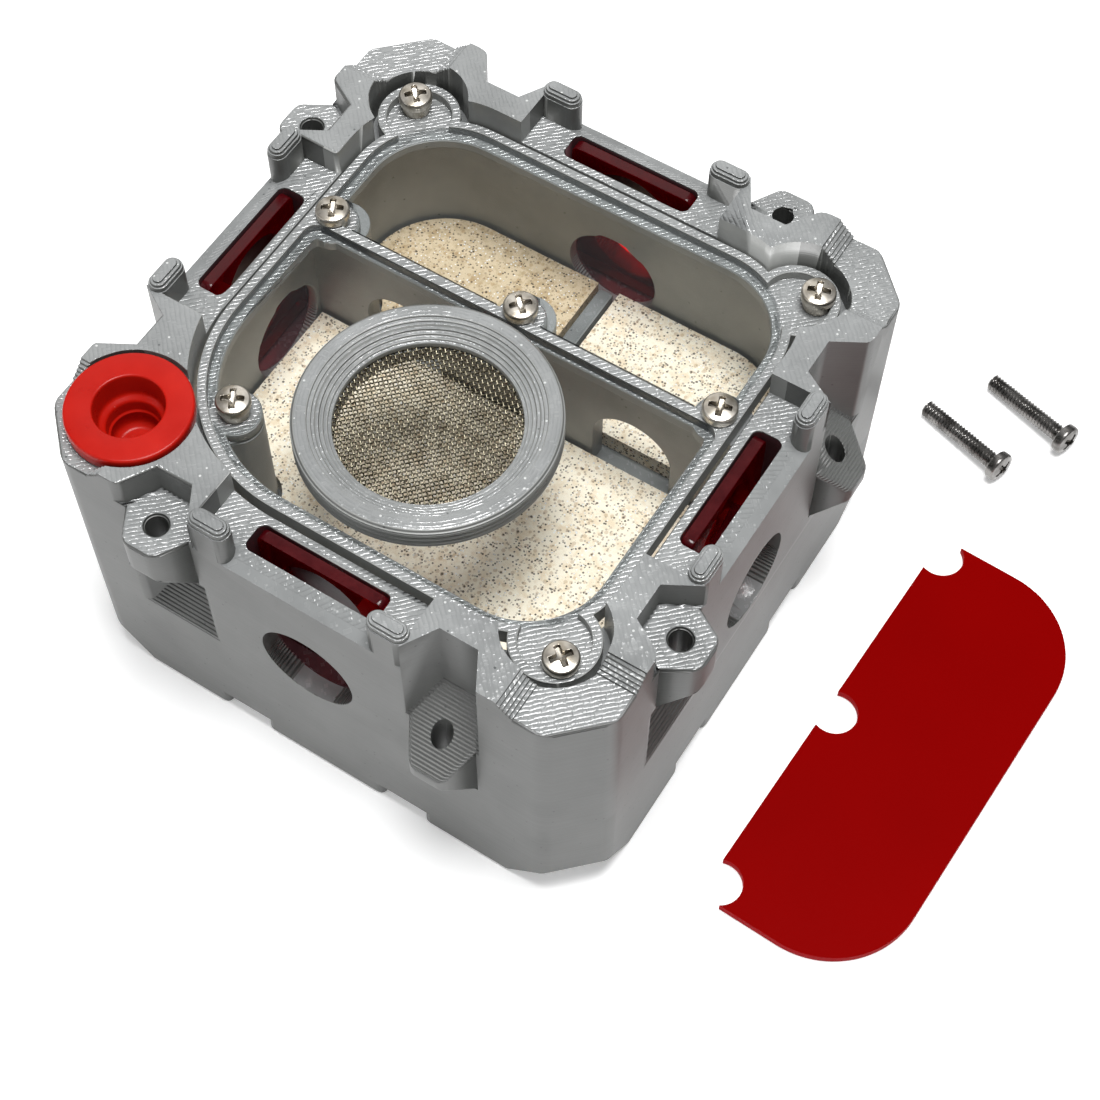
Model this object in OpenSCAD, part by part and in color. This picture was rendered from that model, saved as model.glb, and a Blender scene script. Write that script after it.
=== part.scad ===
// Ant habitat: a square printed housing with a water tank under two nest chambers,
// a framed lid with clear panels, a mesh vent, four lift gates and a filler plug.
// Frame: origin at the middle of the base, Z up, the filler plug at the -X -Y corner.

/* [Housing] */
// Width of the housing across two opposite walls
body_w = 60; // [56:1:72]
// Chamfer of each upright corner, measured along the wall
corner_cut = 4.6; // [3:0.1:6]
// Height of the ledge that runs round the lid
ledge_z = 33; // [31:0.5:38]
// Rise of the corner platforms above the ledge
platform_rise = 1.4; // [0.8:0.1:2]
// Rise of the stacking bands above the corner platforms
band_rise = 1.6; // [1:0.1:2.4]
// Rise of the stacking knobs above the bands
knob_rise = 1; // [0.6:0.1:1.6]
// Fall of the outer lip from the gate slot to the wall face
lip_drop = 1; // [0.4:0.1:1.6]

/* [Tank] */
// Thickness of the tank floor
floor_t = 1.8; // [1.2:0.1:2.4]
// Thickness of the tank walls
tank_wall = 3.4; // [2.6:0.1:4]
// Height of the top of the slab between tank and nest
slab_z = 16; // [14:0.5:18]
// Thickness of the slab
slab_t = 2; // [1.6:0.1:3]
// Width of the square relief under each corner of the base
relief_w = 8.5; // [7:0.1:9]
// Height of the relief under each corner, with sides at 45 degrees
relief_h = 3.9; // [2:0.1:4.2]
// Height of the notches in the base that take the knobs of a lower unit
notch_h = 2; // [1.5:0.1:2.5]

/* [Nest] */
// Thickness of the wall between a gate slot and the nest
inner_wall = 1.3; // [1.1:0.1:2.4]
// Corner radius of the nest chambers
nest_corner_r = 9; // [6:0.5:11]
// Thickness of the nest wall that bends round the filler port
port_wall = 0.95; // [0.8:0.05:1.6]
// Distance from the centre to the front face of the dividing wall
divider_y = 5.4; // [5.3:0.1:6]
// Thickness of the dividing wall
divider_t = 2; // [1.6:0.1:2.4]
// Width of each archway through the dividing wall
arch_w = 8.6; // [6:0.1:10]
// Height of the dividing wall left above each archway
arch_head = 5.1; // [3:0.1:7]
// Distance from the centre to the middle of each archway
arch_x = 13.2; // [11:0.1:14]
// Thickness of the low rib that parts the two rear moisture plates
rib_t = 1.7; // [1.2:0.1:2.4]
// Radius of the screw pillars that stand against the dividing wall
pillar_r = 2.9; // [2.4:0.1:3.2]

/* [Entrances and gates] */
// Radius of the four entrance holes
entrance_r = 5; // [4:0.1:5.2]
// Height of the entrance centres above the slab
entrance_rise = 4.3; // [4:0.1:5.4]
// Thickness of the wall in front of each gate slot
outer_wall = 2.1; // [1.8:0.1:2.3]
// Width of the gate slots
slot_w = 3; // [2.6:0.1:3.1]
// Length of the gate slots
slot_len = 14.1; // [12.6:0.1:14.2]
// Corner radius of the gate slots
slot_r = 0.8; // [0.4:0.1:1]
// Thickness of the gate plates
gate_t = 1.8; // [1.2:0.1:2]
// Radius of the hole near one end of each gate plate
gate_hole_r = 4.4; // [3.6:0.1:4.6]
// Play at each end of a gate plate in its slot
gate_play = 0.25; // [0.2:0.05:0.4]
// Depth of the gate top below the ledge
gate_sink = 0.3; // [0.2:0.1:1]

/* [Stacking bands and knobs] */
// Overlap of each band with its knob
knob_overlap = 0.4; // [0.2:0.1:0.8]
// Length of the corner platforms from the wall faces to the top of each ramp
platform_len = 9.1; // [9:0.1:10]
// Length of the stepped ramp at the end of each band
ramp_len = 1.9; // [1.2:0.1:2.4]
// Number of steps in each ramp
ramp_steps = 6; // [3:1:7]
// Gap between the gate slot and the tip of each knob, and round a knob in its notch
knob_gap = 0.25; // [0.2:0.05:0.6]
// Length of each knob along the wall
knob_len = 4.2; // [3.8:0.1:4.6]
// Thickness of each knob
knob_w = 2.1; // [1.8:0.1:2.1]
// Gap between the bands and the filler plug's flange
plug_clear = 0.35; // [0.2:0.05:0.8]

/* [Joining ears] */
// Distance from mid wall to the middle of each ear
ear_pitch = 15; // [14.6:0.1:15.2]
// Corner radius of the hexagonal ears
ear_r = 3.55; // [3.2:0.05:3.7]
// Gap between an ear and the recess that takes it
ear_gap = 0.35; // [0.2:0.05:0.5]
// Radius of the screw hole in each ear
ear_hole_r = 1.05; // [0.9:0.05:1.2]
// Depth of the top of the upper ears below the ledge
upper_ear_drop = 0.4; // [0.2:0.1:1.5]
// Depth of the outer face of the upper ears
upper_ear_t = 4.4; // [3:0.1:5]
// Height of the sloped top of the lower ears above the slab, at the wall face
lower_ear_rise = 7.4; // [7:0.1:8]
// Depth of the outer face of the lower ears
lower_ear_t = 1.7; // [1.2:0.1:2.4]
// Slope of the undersides and sloped tops of the ears
ear_slope = 45; // [40:1:50]
// Depth of the foot of the recess under each upper ear, below the top of a lower ear
recess_depth = 8.6; // [8:0.1:9.4]

/* [Lid] */
// Thickness of the wall between the lid pocket and the gate slots
pocket_wall = 0.9; // [0.6:0.1:1.2]
// Gap between the lid frame and the pocket that holds it
lid_gap = 0.5; // [0.3:0.05:0.6]
// Offset of the lid frame in its pocket, towards the rear left
lid_offset = 0.2; // [0:0.05:0.2]
// Thickness of the lid frame below its panel seats
lid_floor_t = 1.2; // [1:0.1:1.6]
// Height of the rim round the panel seats
lid_rim_h = 1; // [0.8:0.1:1.2]
// Rise of the rim above the housing ledge
lid_proud = 0.2; // [0:0.1:0.4]
// Width of the rim
rim_w = 0.9; // [0.7:0.1:1.2]
// Width of the panel seats
seat_w = 0.9; // [0.6:0.1:1.1]
// Width of the seats along the strip between the panels
strip_seat_w = 0.4; // [0.3:0.1:0.6]
// Radius of the small corners of the windows and panels
small_r = 1.4; // [1:0.1:2]
// Radius of the lid lobes that carry the divider and side screws
screw_lobe_r = 2.5; // [2.2:0.1:2.8]
// Corner radius of the lid frame
lid_corner_r = 9.6; // [8:0.1:11]
// Thickness of the wall between the lid pocket and the filler port
lid_port_wall = 1.05; // [0.8:0.05:1.6]
// Distance from each corner screw back to the middle of its lobe, along X and along Y
lobe_back = 1.4; // [1.2:0.1:1.6]
// Radius of each corner lobe
lobe_r = 4.15; // [3.9:0.05:4.3]
// Gap between a corner lobe and its pocket
lobe_gap = 0.75; // [0.5:0.05:0.9]
// Distance of the strip between the panels ahead of the dividing wall
strip_ahead = 0.6; // [0.4:0.1:0.8]
// Width of the strip between the panels
strip_w = 1; // [0.8:0.1:1.2]

/* [Panels and cover] */
// Gap between a panel and its seat
panel_gap = 0.15; // [0.1:0.05:0.3]
// Width of the front panel left ahead of and behind the vent hole
vent_margin = 2.8; // [2.4:0.1:4]
// Radius of the notches that clear the screw heads
head_notch_r = 2.35; // [2.2:0.05:2.5]
// Thickness of the loose dark cover
cover_t = 1; // [0.8:0.1:1.5]
// Overlap of the dark cover past the lid frame on each side
cover_lap = 0.4; // [0:0.1:0.45]
// Distance of the cover's end notches from its ends
cover_notch_end = 2; // [1.5:0.1:2.3]
// Distance of the cover's notches from its straight edge
cover_notch_in = 0.9; // [0.7:0.1:1.2]
// Distance from the right wall to the middle of the cover's straight edge, and its place along the wall
cover_away = [9.4, 1.5]; // [0:0.1:30]
// Turn of the loose cover about the upright axis
cover_turn = -92; // [-95:0.5:-85]

/* [Vent] */
// Distance of the vent ahead of the middle of the front panel
vent_ahead = 0.1; // [0:0.05:0.3]
// Overlap of the vent ring past its hole
vent_lap = 1.5; // [1.2:0.1:1.7]
// Height of the vent ring above the panel
vent_h = 2.5; // [2:0.1:3]
// Width of the flat rim on top of the vent ring
vent_rim_w = 1.5; // [1:0.1:2]
// Width of the seat round the open mesh
mesh_seat_w = 0.9; // [0.6:0.1:1.4]
// Thickness of the mesh disc
mesh_t = 0.3; // [0.2:0.05:0.4]
// Number of steps in the funnel of the vent ring
funnel_steps = 6; // [4:1:8]
// Thickness of the spigot wall below the vent ring
spigot_t = 1; // [0.8:0.1:1.2]
// Gap between the spigot and the panel hole
spigot_gap = 0.3; // [0.2:0.05:0.4]
// Depth of the spigot below the panel top
spigot_drop = 1.7; // [1.2:0.1:2]

/* [Filler plug] */
// Distance from the wall faces to the filler port along X and along Y
port_in = 7.1; // [7:0.1:7.3]
// Radius of the filler port
port_r = 4.4; // [4:0.1:4.5]
// Overlap of the plug flange past the port
flange_lap = 1.6; // [1.2:0.1:1.7]
// Thickness of the plug flange
flange_t = 1.75; // [1.2:0.05:2]
// Length of the plug stem below its flange
stem_len = 9; // [6:0.5:12]
// Wall of the plug cup
cup_wall = 0.9; // [0.7:0.1:1.1]
// Depth of the wide part of the plug cup
cup_depth = 4; // [3:0.1:5]
// Radius of the narrow part of the plug cup
cup_core_r = 2.5; // [2:0.1:2.8]
// Gap between the plug ribs and the port
plug_gap = 0.06; // [0.04:0.01:0.1]
// Depth of the gaps between the plug ribs
rib_depth = 0.3; // [0.2:0.05:0.4]

/* [Moisture plates] */
// Thickness of the moisture plates
plate_t = 2.2; // [1.6:0.1:2.6]
// Gap between a plate and the walls round it
plate_gap = 0.4; // [0.3:0.05:0.6]
// Radius of the wicks that reach down into the tank
wick_r = 2.4; // [1.8:0.1:3]
// Gap between a wick and its hole in the slab
wick_gap = 0.1; // [0.05:0.05:0.3]
// Gap between the wicks and the tank floor
wick_foot_gap = 0.5; // [0.3:0.1:1]

/* [Screws] */
// Radius of the screw shanks
shank_r = 0.95; // [0.8:0.05:1]
// Radius of the pan heads
head_r = 1.68; // [1.5:0.02:1.9]
// Height of the pan heads
head_h = 1.3; // [1.1:0.05:1.5]
// Radius of the collar under each head
collar_r = 1.35; // [1.2:0.05:1.5]
// Height of the collar under each head
collar_h = 1.1; // [1.05:0.05:1.3]
// Length of the lid screws below their collars
screw_len = 9; // [7:0.5:10]
// Distance from the wall faces to the corner screws along X and along Y
corner_screw_in = 7.3; // [7.1:0.1:7.5]
// Distance from the filler port to the side screw along X and along Y
side_screw_back = 6.5; // [6.2:0.1:6.8]
// Distance from the edge of the lid frame to the outer divider screws
divider_screw_end = 2.1; // [1.9:0.1:2.3]
// Distance from the front face of the dividing wall to its screws
divider_screw_in = 1.1; // [1:0.1:1.2]
// Gap round the shanks in their holes
shank_gap = 0.08; // [0.05:0.01:0.15]
// Length of the spare joining screws below the head
spare_len = 10; // [8:0.5:12]
// Places of the heads of the spare screws from the rear right corner
spare_away = [[10.7, 6.2], [15.2, 13.1]]; // [0:0.1:40]
// Turn of the spare screws about the upright axis
spare_turn = 162.8; // [120:0.1:180]

/* [Hidden] */
$fn = 64;

// Overrun of the cuts past the faces that they open
over = 0.6;
half = body_w / 2;
slot_out_d = half - outer_wall;
slot_d = slot_out_d - slot_w;
nest_half = slot_d - inner_wall;
pocket_half = slot_d - pocket_wall;
lid_half = pocket_half - lid_gap;
port_c = half - port_in;
corner_screw_c = half - corner_screw_in;
lobe_c = corner_screw_c - lobe_back;
lobe_pocket_r = lobe_r + lobe_gap;
side_screw_c = port_c - side_screw_back;
divider_screw_x = lid_half - divider_screw_end;
// radius that a corner at the distance h needs to leave the wall w round the filler port
function bend_r(h, w) = ((h - port_c) * sqrt(2) + port_r + w) / (sqrt(2) - 1);
port_bend_r = bend_r(nest_half, port_wall);
lid_bend_r = bend_r(pocket_half, lid_port_wall) - lid_gap;
knob_tip = slot_len / 2 + knob_gap;
band_start = knob_tip + knob_len - knob_overlap;
band_end = half - platform_len;
flange_r = port_r + flange_lap;
plug_clear_r = flange_r + plug_clear;
entrance_z = slab_z + entrance_rise;
upper_ear_z = ledge_z - upper_ear_drop;
lower_ear_z = slab_z + lower_ear_rise;
recess_z = lower_ear_z - recess_depth;
platform_z = ledge_z + platform_rise;
band_z = platform_z + band_rise;
knob_z = band_z + knob_rise;
slab_foot_z = slab_z - slab_t;
relief_in = half - relief_w;
lid_rim_z = ledge_z + lid_proud;
lid_seat_z = lid_rim_z - lid_rim_h;
lid_foot_z = lid_seat_z - lid_floor_t;
lid_shift = [-lid_offset, lid_offset];
panel_half = lid_half - rim_w;
window_half = panel_half - seat_w;
strip_y = divider_y - strip_ahead;
arch_h = lid_foot_z - slab_z - arch_head;
vent_y = (strip_y - panel_half) / 2 - vent_ahead;
vent_hole_r = (strip_y + panel_half) / 2 - vent_margin;
vent_r = vent_hole_r + vent_lap;
divider_back_y = divider_y + divider_t;
divider_screw_y = divider_y + divider_screw_in;
strip_back_y = strip_y + strip_w;
cover_half = lid_half + cover_lap;
cover_notch_x = cover_half - cover_notch_end;
cover_place = [half + cover_away.x, cover_away.y];
spare_places = [for (p = spare_away) [half + p.x, half + p.y]];
plate_z = slab_z + plate_t;
gate_top_z = ledge_z - gate_sink;
gate_foot_z = entrance_z - entrance_r - gate_play;
gate_w = slot_len - 2 * gate_play;
gate_in_d = slot_d + (slot_w - gate_t) / 2;
gate_hole_z = gate_top_z - (entrance_z - gate_foot_z);
ear_flat = ear_r * cos(30);
recess_r = ear_r + ear_gap;
recess_flat = recess_r * cos(30);
upper_ear_foot_z = upper_ear_z - upper_ear_t;
lower_ear_top_z = lower_ear_z - ear_flat * tan(ear_slope);
lower_ear_foot_z = lower_ear_top_z - lower_ear_t;
spigot_r = vent_hole_r - spigot_gap;
spigot_in_r = spigot_r - spigot_t;
mesh_open_r = spigot_in_r - mesh_seat_w;
screw_foot_z = lid_seat_z - screw_len;
printed = "#9aa0a1";
steel = "#b9b4aa";

// Plan of the housing: a square with cut corners
module octagon(h) {
    c = corner_cut;
    polygon([
        [h - c, -h], [h, c - h], [h, h - c], [h - c, h],
        [c - h, h], [-h, h - c], [-h, c - h], [c - h, -h]
    ]);
}

// Rectangle from lo to hi with a radius at each corner, counted from the lower left
module soft_rect(lo, hi, r) {
    corners = [[lo.x, lo.y, 1, 1], [hi.x, lo.y, -1, 1], [hi.x, hi.y, -1, -1], [lo.x, hi.y, 1, -1]];
    difference() {
        translate(lo) square(hi - lo);
        for (i = [0:3])
            if (r[i] > 0)
                translate([corners[i][0], corners[i][1]])
                    mirror([corners[i][2] > 0 ? 0 : 1, 0]) mirror([0, corners[i][3] > 0 ? 0 : 1])
                        difference() {
                            translate([-over, -over]) square(r[i] + over);
                            translate([r[i], r[i]]) circle(r[i]);
                        }
    }
}

// Upright prism between two heights
module rise(z0, z1) {
    translate([0, 0, z0]) linear_extrude(z1 - z0) children();
}

// Copies on the four walls: front, right, back, left
module each_wall() {
    for (k = [0:3]) rotate([0, 0, 90 * k]) children();
}

// Bar along the front wall whose section has the distance outwards and the height
module along_wall(length) {
    rotate([0, 0, -90]) rotate([90, 0, 0]) linear_extrude(length, center = true) children();
}

// Bar from d0 to d1 outwards whose face has the place along the wall and the height
module outwards(d0, d1) {
    translate([0, -d0, 0]) rotate([90, 0, 0]) linear_extrude(d1 - d0) children();
}

// Place of the front corner pieces that go with the corner screws: right, rear right, rear left
function turned(p, k) = k == 0 ? p : turned([-p.y, p.x], k - 1);
corner_screw_places = [for (k = [0:2]) turned([corner_screw_c, -corner_screw_c], k)];
lobe_places = [for (k = [0:2]) turned([lobe_c, -lobe_c], k)];
divider_screw_places = [for (i = [-1:1]) [i * divider_screw_x, divider_screw_y]];
side_screw_place = [-side_screw_c, -side_screw_c];
vent_place = [0, vent_y];
port_place = [-port_c, -port_c];

// Body of the housing

// Profile of a stacking band: flat top, then a stepped ramp to the corner platform
module band_face() {
    foot_z = ledge_z - 2 * lip_drop;
    rise_each = band_rise / ramp_steps;
    run_each = ramp_len / ramp_steps;
    stairs = [
        for (i = [0:ramp_steps - 1], j = [0:1])
            [band_end + run_each * i, band_z - rise_each * (i + j)]
    ];
    polygon(concat(
        [[band_start, foot_z], [band_start, band_z]],
        stairs,
        [[band_end + ramp_len, platform_z], [band_end + ramp_len, foot_z]]
    ));
}

// Plan of a stacking knob, drawn in by the inset
module knob_plan(inset) {
    r = knob_w / 2 - inset;
    mid_d = half - knob_w / 2;
    translate([knob_tip + knob_w / 2, -mid_d]) circle(r);
    translate([knob_tip + knob_len - knob_w / 2, -mid_d]) circle(r);
    translate([knob_tip + knob_w / 2, -mid_d - r]) square([knob_len - knob_w, 2 * r]);
}

// Shares of the knob's rise, and the inset of each layer as a share of its width
knob_layer_shares = [[0.5, 0.04], [0.8, 0.12], [1, 0.26]];

// Knob with its rounded top in printed layers
module knob() {
    rise(ledge_z - 2 * lip_drop, band_z) knob_plan(0);
    for (i = [0:2])
        rise(band_z - lip_drop, band_z + knob_rise * knob_layer_shares[i][0])
            knob_plan(knob_w * knob_layer_shares[i][1]);
}

// Outside of the housing before its hollows: block, outer lips, platforms, bands and knobs
module housing_mass() {
    difference() {
        rise(slab_foot_z, ledge_z) octagon(half);
        each_wall() along_wall(2 * band_start)
            polygon([
                [slot_out_d, ledge_z], [half, ledge_z - lip_drop], [half + over, ledge_z - lip_drop],
                [half + over, ledge_z + over], [slot_out_d, ledge_z + over]
            ]);
    }
    intersection() {
        rise(ledge_z - lip_drop, platform_z) octagon(half);
        each_wall()
            translate([lobe_c - lobe_r, -half - over, 0])
                cube([half + over - lobe_c + lobe_r, half + over - lobe_c + lobe_r, platform_z + over]);
    }
    each_wall()
        for (side = [0:1]) mirror([side, 0, 0]) {
            outwards(panel_half, half) band_face();
            knob();
        }
    // the two bands beside the filler port are wider and reach the bend of the lid
    outwards(side_screw_c, half) mirror([1, 0, 0]) band_face();
    rotate([0, 0, -90]) outwards(side_screw_c, half) band_face();
}

// Plan of the lid frame, grown by a gap, with lobes of the given radius
module lid_plan(gap, lobe) {
    h = lid_half + gap;
    r = lid_corner_r + gap;
    soft_rect([-h, -h], [h, h], [lid_bend_r + gap, r, r, r]);
    for (p = lobe_places) translate(p) circle(lobe);
}

// Plan of the front nest, grown by g
module nest_front_plan(g) {
    n = nest_half + g;
    difference() {
        soft_rect([-n, -n], [n, divider_y + g], [port_bend_r + g, nest_corner_r + g, 0, 0]);
        translate(side_screw_place) {
            circle(screw_lobe_r - g);
            rotate(225) translate([0, g - screw_lobe_r])
                square([nest_half - side_screw_c, 2 * (screw_lobe_r - g)]);
        }
    }
}

// Plan of the rear nest, grown by g
module nest_back_plan(g) {
    n = nest_half + g;
    difference() {
        soft_rect([-n, divider_back_y - g], [n, n], [0, 0, nest_corner_r + g, nest_corner_r + g]);
        for (p = divider_screw_places) translate([p.x, divider_back_y]) circle(pillar_r - g);
    }
}

// Plan of the dividing wall with its screw pillars, from one side wall to the other
module divider_plan() {
    difference() {
        translate([-nest_half, divider_y]) square([2 * nest_half, divider_t + pillar_r]);
        nest_back_plan(0);
    }
}

// Inside of the tank, open at the top and clear of the reliefs under the corners
module tank_space() {
    block = relief_in - floor_t;
    difference() {
        rise(floor_t, slab_foot_z + over) octagon(half - tank_wall);
        each_wall()
            translate([block, -half, 0]) cube([half - block, half - block, relief_h + floor_t]);
    }
}

// Relief under one corner of the base, with two sides at 45 degrees
module corner_relief() {
    face = [
        [relief_in - over, -over], [half + over, -over],
        [half + over, relief_h], [relief_in + relief_h, relief_h]
    ];
    intersection() {
        outwards(0, half + over) polygon(face);
        rotate([0, 0, 90]) mirror([1, 0, 0]) outwards(0, half + over) polygon(face);
    }
}

// Notches in the base that take the knobs of a unit below
module base_notches() {
    for (side = [0:1]) mirror([side, 0, 0])
        translate([knob_tip - knob_gap, -half - over, -over])
            cube([knob_len + 2 * knob_gap, knob_w + knob_gap + over, notch_h + over]);
}

// Six-sided prism on the wall face, flats along the wall
module ear_prism(x, r, z0, z1) {
    translate([x, -half, 0]) rise(z0, z1) circle(r, $fn = 6);
}

// Region between two slopes across the wall: heights at the outer face of the ear
module slope_band(z_low, z_high, low_slope, high_slope) {
    f = recess_flat + over;
    along_wall(body_w)
        polygon([
            [half - f, z_low - (ear_flat + f) * low_slope], [half + f, z_low + (f - ear_flat) * low_slope],
            [half + f, z_high + (f - ear_flat) * high_slope], [half - f, z_high - (ear_flat + f) * high_slope]
        ]);
}

// Upper ear: flat top, sloped underside
module upper_ear() {
    intersection() {
        ear_prism(-ear_pitch, ear_r, slab_z, upper_ear_z);
        slope_band(upper_ear_foot_z, upper_ear_z, tan(ear_slope), 0);
    }
}

// Lower ear: sloped top and sloped underside
module lower_ear() {
    intersection() {
        ear_prism(ear_pitch, ear_r, recess_z, ledge_z);
        slope_band(lower_ear_foot_z, lower_ear_top_z, tan(ear_slope), -tan(ear_slope));
    }
}

// Channels above the ears, and the recess under the upper ear for a neighbour's lower ear
module ear_spaces() {
    ear_prism(-ear_pitch, recess_r, upper_ear_z, knob_z + over);
    intersection() {
        ear_prism(-ear_pitch, recess_r, slab_foot_z, ledge_z);
        slope_band(recess_z - ear_flat * tan(ear_slope), upper_ear_foot_z, -tan(ear_slope), tan(ear_slope));
    }
    intersection() {
        ear_prism(ear_pitch, recess_r, recess_z, knob_z + over);
        slope_band(lower_ear_top_z, knob_z + over, -tan(ear_slope), 0);
    }
}

// Screw holes of both ears of a wall
module ear_holes() {
    translate([-ear_pitch, -half, slab_z]) cylinder(r = ear_hole_r, h = knob_z - slab_z);
    translate([ear_pitch, -half, recess_z]) cylinder(r = ear_hole_r, h = ledge_z - recess_z);
}

// Holes that the lid's screws go down into
module lid_screw_holes(places) {
    for (p = places) translate(p) rise(screw_foot_z - over, knob_z) circle(shank_r + shank_gap);
}

// Archway through the dividing wall
module archway(x) {
    r = arch_w / 2;
    translate([x, divider_back_y + over, slab_z]) rotate([90, 0, 0]) linear_extrude(divider_t + 2 * over) {
        translate([-r, 0]) square([arch_w, arch_h - r]);
        translate([0, arch_h - r]) circle(r);
    }
}

wick_places = [
    [-nest_half / 2, -nest_half / 3], [nest_half / 2, -nest_half / 2],
    [-nest_half / 2, nest_half * 2 / 3], [nest_half / 2, nest_half * 2 / 3]
];

// Lower part of the printed housing: the tank, whose rim carries the slab of the nests
module tank_shell() {
    color(printed)
    difference() {
        rise(0, slab_foot_z) octagon(half);
        tank_space();
        each_wall() {
            corner_relief();
            base_notches();
        }
    }
}

// Upper part of the printed housing with the nests, gate slots, bands and knobs
module body_shell() {
    color(printed)
    difference() {
        union() {
            difference() {
                housing_mass();
                rise(lid_foot_z, knob_z + over) lid_plan(lid_gap, lobe_pocket_r);
                rise(slab_z, lid_foot_z + over) nest_front_plan(0);
                rise(slab_z, lid_foot_z + over) nest_back_plan(0);
                each_wall() ear_spaces();
            }
            translate([-rib_t / 2, divider_y, slab_z - over])
                cube([rib_t, nest_half + over - divider_y, plate_t + over]);
        }
        rise(slab_z, lid_foot_z + over) divider_plan();
        each_wall() {
            upper_ear();
            lower_ear();
            rise(gate_foot_z - gate_play, knob_z)
                soft_rect([-slot_len / 2, -slot_out_d], [slot_len / 2, -slot_d], [slot_r, slot_r, slot_r, slot_r]);
            translate([0, over - nest_half, entrance_z]) rotate([90, 0, 0])
                cylinder(r = entrance_r, h = half - nest_half + 2 * over);
            ear_holes();
        }
        translate(port_place) {
            rise(slab_foot_z - over, knob_z) circle(port_r);
            rise(platform_z, knob_z) circle(plug_clear_r);
        }
        lid_screw_holes(concat(corner_screw_places, [side_screw_place]));
        for (p = wick_places)
            translate(p) rise(slab_foot_z - over, slab_z + over) circle(wick_r + wick_gap);
    }
}

// Dividing wall of the printed housing, with its two archways and the pillars of its screws
module divider_wall() {
    color(printed)
    difference() {
        rise(slab_z, lid_foot_z) divider_plan();
        for (x = [-arch_x, arch_x]) archway(x);
        lid_screw_holes(divider_screw_places);
    }
}

// Ears of the printed housing: on each wall an upper one and a lower one, set into the wall
module joining_ears() {
    color(printed)
    each_wall() difference() {
        union() {
            upper_ear();
            lower_ear();
        }
        ear_holes();
    }
}

// Lid

// Plan of the front panel's seat, drawn in by g
module front_seat_plan(g) {
    p = panel_half - g;
    soft_rect([-p, -p], [p, strip_y - g],
              [lid_bend_r - rim_w - g, lid_corner_r - rim_w - g, small_r, small_r]);
}

// Plan of the rear panel's seat, drawn in by g
module back_seat_plan(g) {
    p = panel_half - g;
    r = lid_corner_r - rim_w - g;
    soft_rect([-p, strip_back_y + g], [p, p], [0, 0, r, r]);
}

// Openings of the lid frame under the panels, with lobes left for the screws
module windows_plan() {
    w = window_half;
    r = lid_corner_r - rim_w - seat_w;
    difference() {
        union() {
            soft_rect([-w, -w], [w, strip_y - strip_seat_w],
                      [lid_bend_r - rim_w - seat_w, r, small_r, small_r]);
            soft_rect([-w, strip_back_y + strip_seat_w], [w, w], [0, 0, r, r]);
        }
        translate(-lid_shift)
            for (p = concat(divider_screw_places, [side_screw_place])) translate(p) circle(screw_lobe_r);
    }
}

// Lid frame: rim, panel seats, two windows, three corner lobes
module lid_frame() {
    color(printed)
    difference() {
        translate(lid_shift)
            difference() {
                rise(lid_foot_z, lid_rim_z) lid_plan(0, lobe_r);
                rise(lid_seat_z, lid_rim_z + over) {
                    front_seat_plan(0);
                    back_seat_plan(0);
                    for (p = lobe_places) translate(p) circle(lobe_r - rim_w);
                }
                rise(lid_foot_z - over, lid_rim_z + over) windows_plan();
            }
        for (p = concat(corner_screw_places, divider_screw_places, [side_screw_place]))
            translate(p) {
                rise(lid_foot_z - over, lid_rim_z) circle(shank_r + shank_gap);
                rise(lid_seat_z, lid_rim_z + over) circle(collar_r + shank_gap);
            }
    }
}

// Clear front panel with the vent hole
module panel_front() {
    color("#dfe8ea", 0.35)
    difference() {
        translate(lid_shift) rise(lid_seat_z, lid_rim_z) front_seat_plan(panel_gap);
        rise(lid_seat_z - over, lid_rim_z + over) {
            translate(vent_place) circle(vent_hole_r);
            translate(side_screw_place) circle(head_notch_r);
        }
    }
}

// Clear rear panel with its screw notches
module panel_back() {
    color("#dfe8ea", 0.35)
    difference() {
        translate(lid_shift) rise(lid_seat_z, lid_rim_z) back_seat_plan(panel_gap);
        for (p = divider_screw_places)
            translate(p) rise(lid_seat_z - over, lid_rim_z + over) circle(head_notch_r);
    }
}

// Loose dark cover for the rear nest, lying beside the housing
module dark_cover() {
    c = cover_half;
    color("#930000")
    translate(cover_place) rotate(cover_turn) translate([0, -strip_back_y])
        difference() {
            rise(0, cover_t)
                soft_rect([-c, strip_back_y], [c, c], [0, 0, lid_corner_r, lid_corner_r]);
            for (i = [-1:1])
                translate([i * cover_notch_x, strip_back_y + cover_notch_in])
                    rise(-over, cover_t + over) circle(head_notch_r);
        }
}

// Vent

// Printed ring with a stepped funnel above the mesh and a spigot below
module vent_ring() {
    top_r = vent_r - vent_rim_w;
    seat_h = 2 * mesh_t;
    fall = (vent_h - 2 * seat_h) / funnel_steps;
    run = (top_r - mesh_open_r) / funnel_steps;
    edge = vent_rim_w / 5;
    stairs = [
        for (i = [0:funnel_steps - 1], j = [0:1]) [top_r - run * i, vent_h - fall * (i + j)]
    ];
    color(printed)
    translate([0, vent_y, lid_rim_z]) rotate_extrude()
        polygon(concat(
            [[spigot_in_r, -spigot_drop], [spigot_r, -spigot_drop], [spigot_r, panel_gap],
             [vent_r, panel_gap], [vent_r, vent_h - edge], [vent_r - edge, vent_h]],
            stairs,
            [[mesh_open_r, 2 * seat_h], [mesh_open_r, seat_h], [spigot_in_r, seat_h]]
        ));
}

// Disc of woven mesh, seated against the underside of the vent ring
module vent_mesh() {
    color("#7d7862")
    translate([0, vent_y, lid_rim_z + mesh_t]) cylinder(r = spigot_in_r - panel_gap, h = mesh_t);
}

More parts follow.
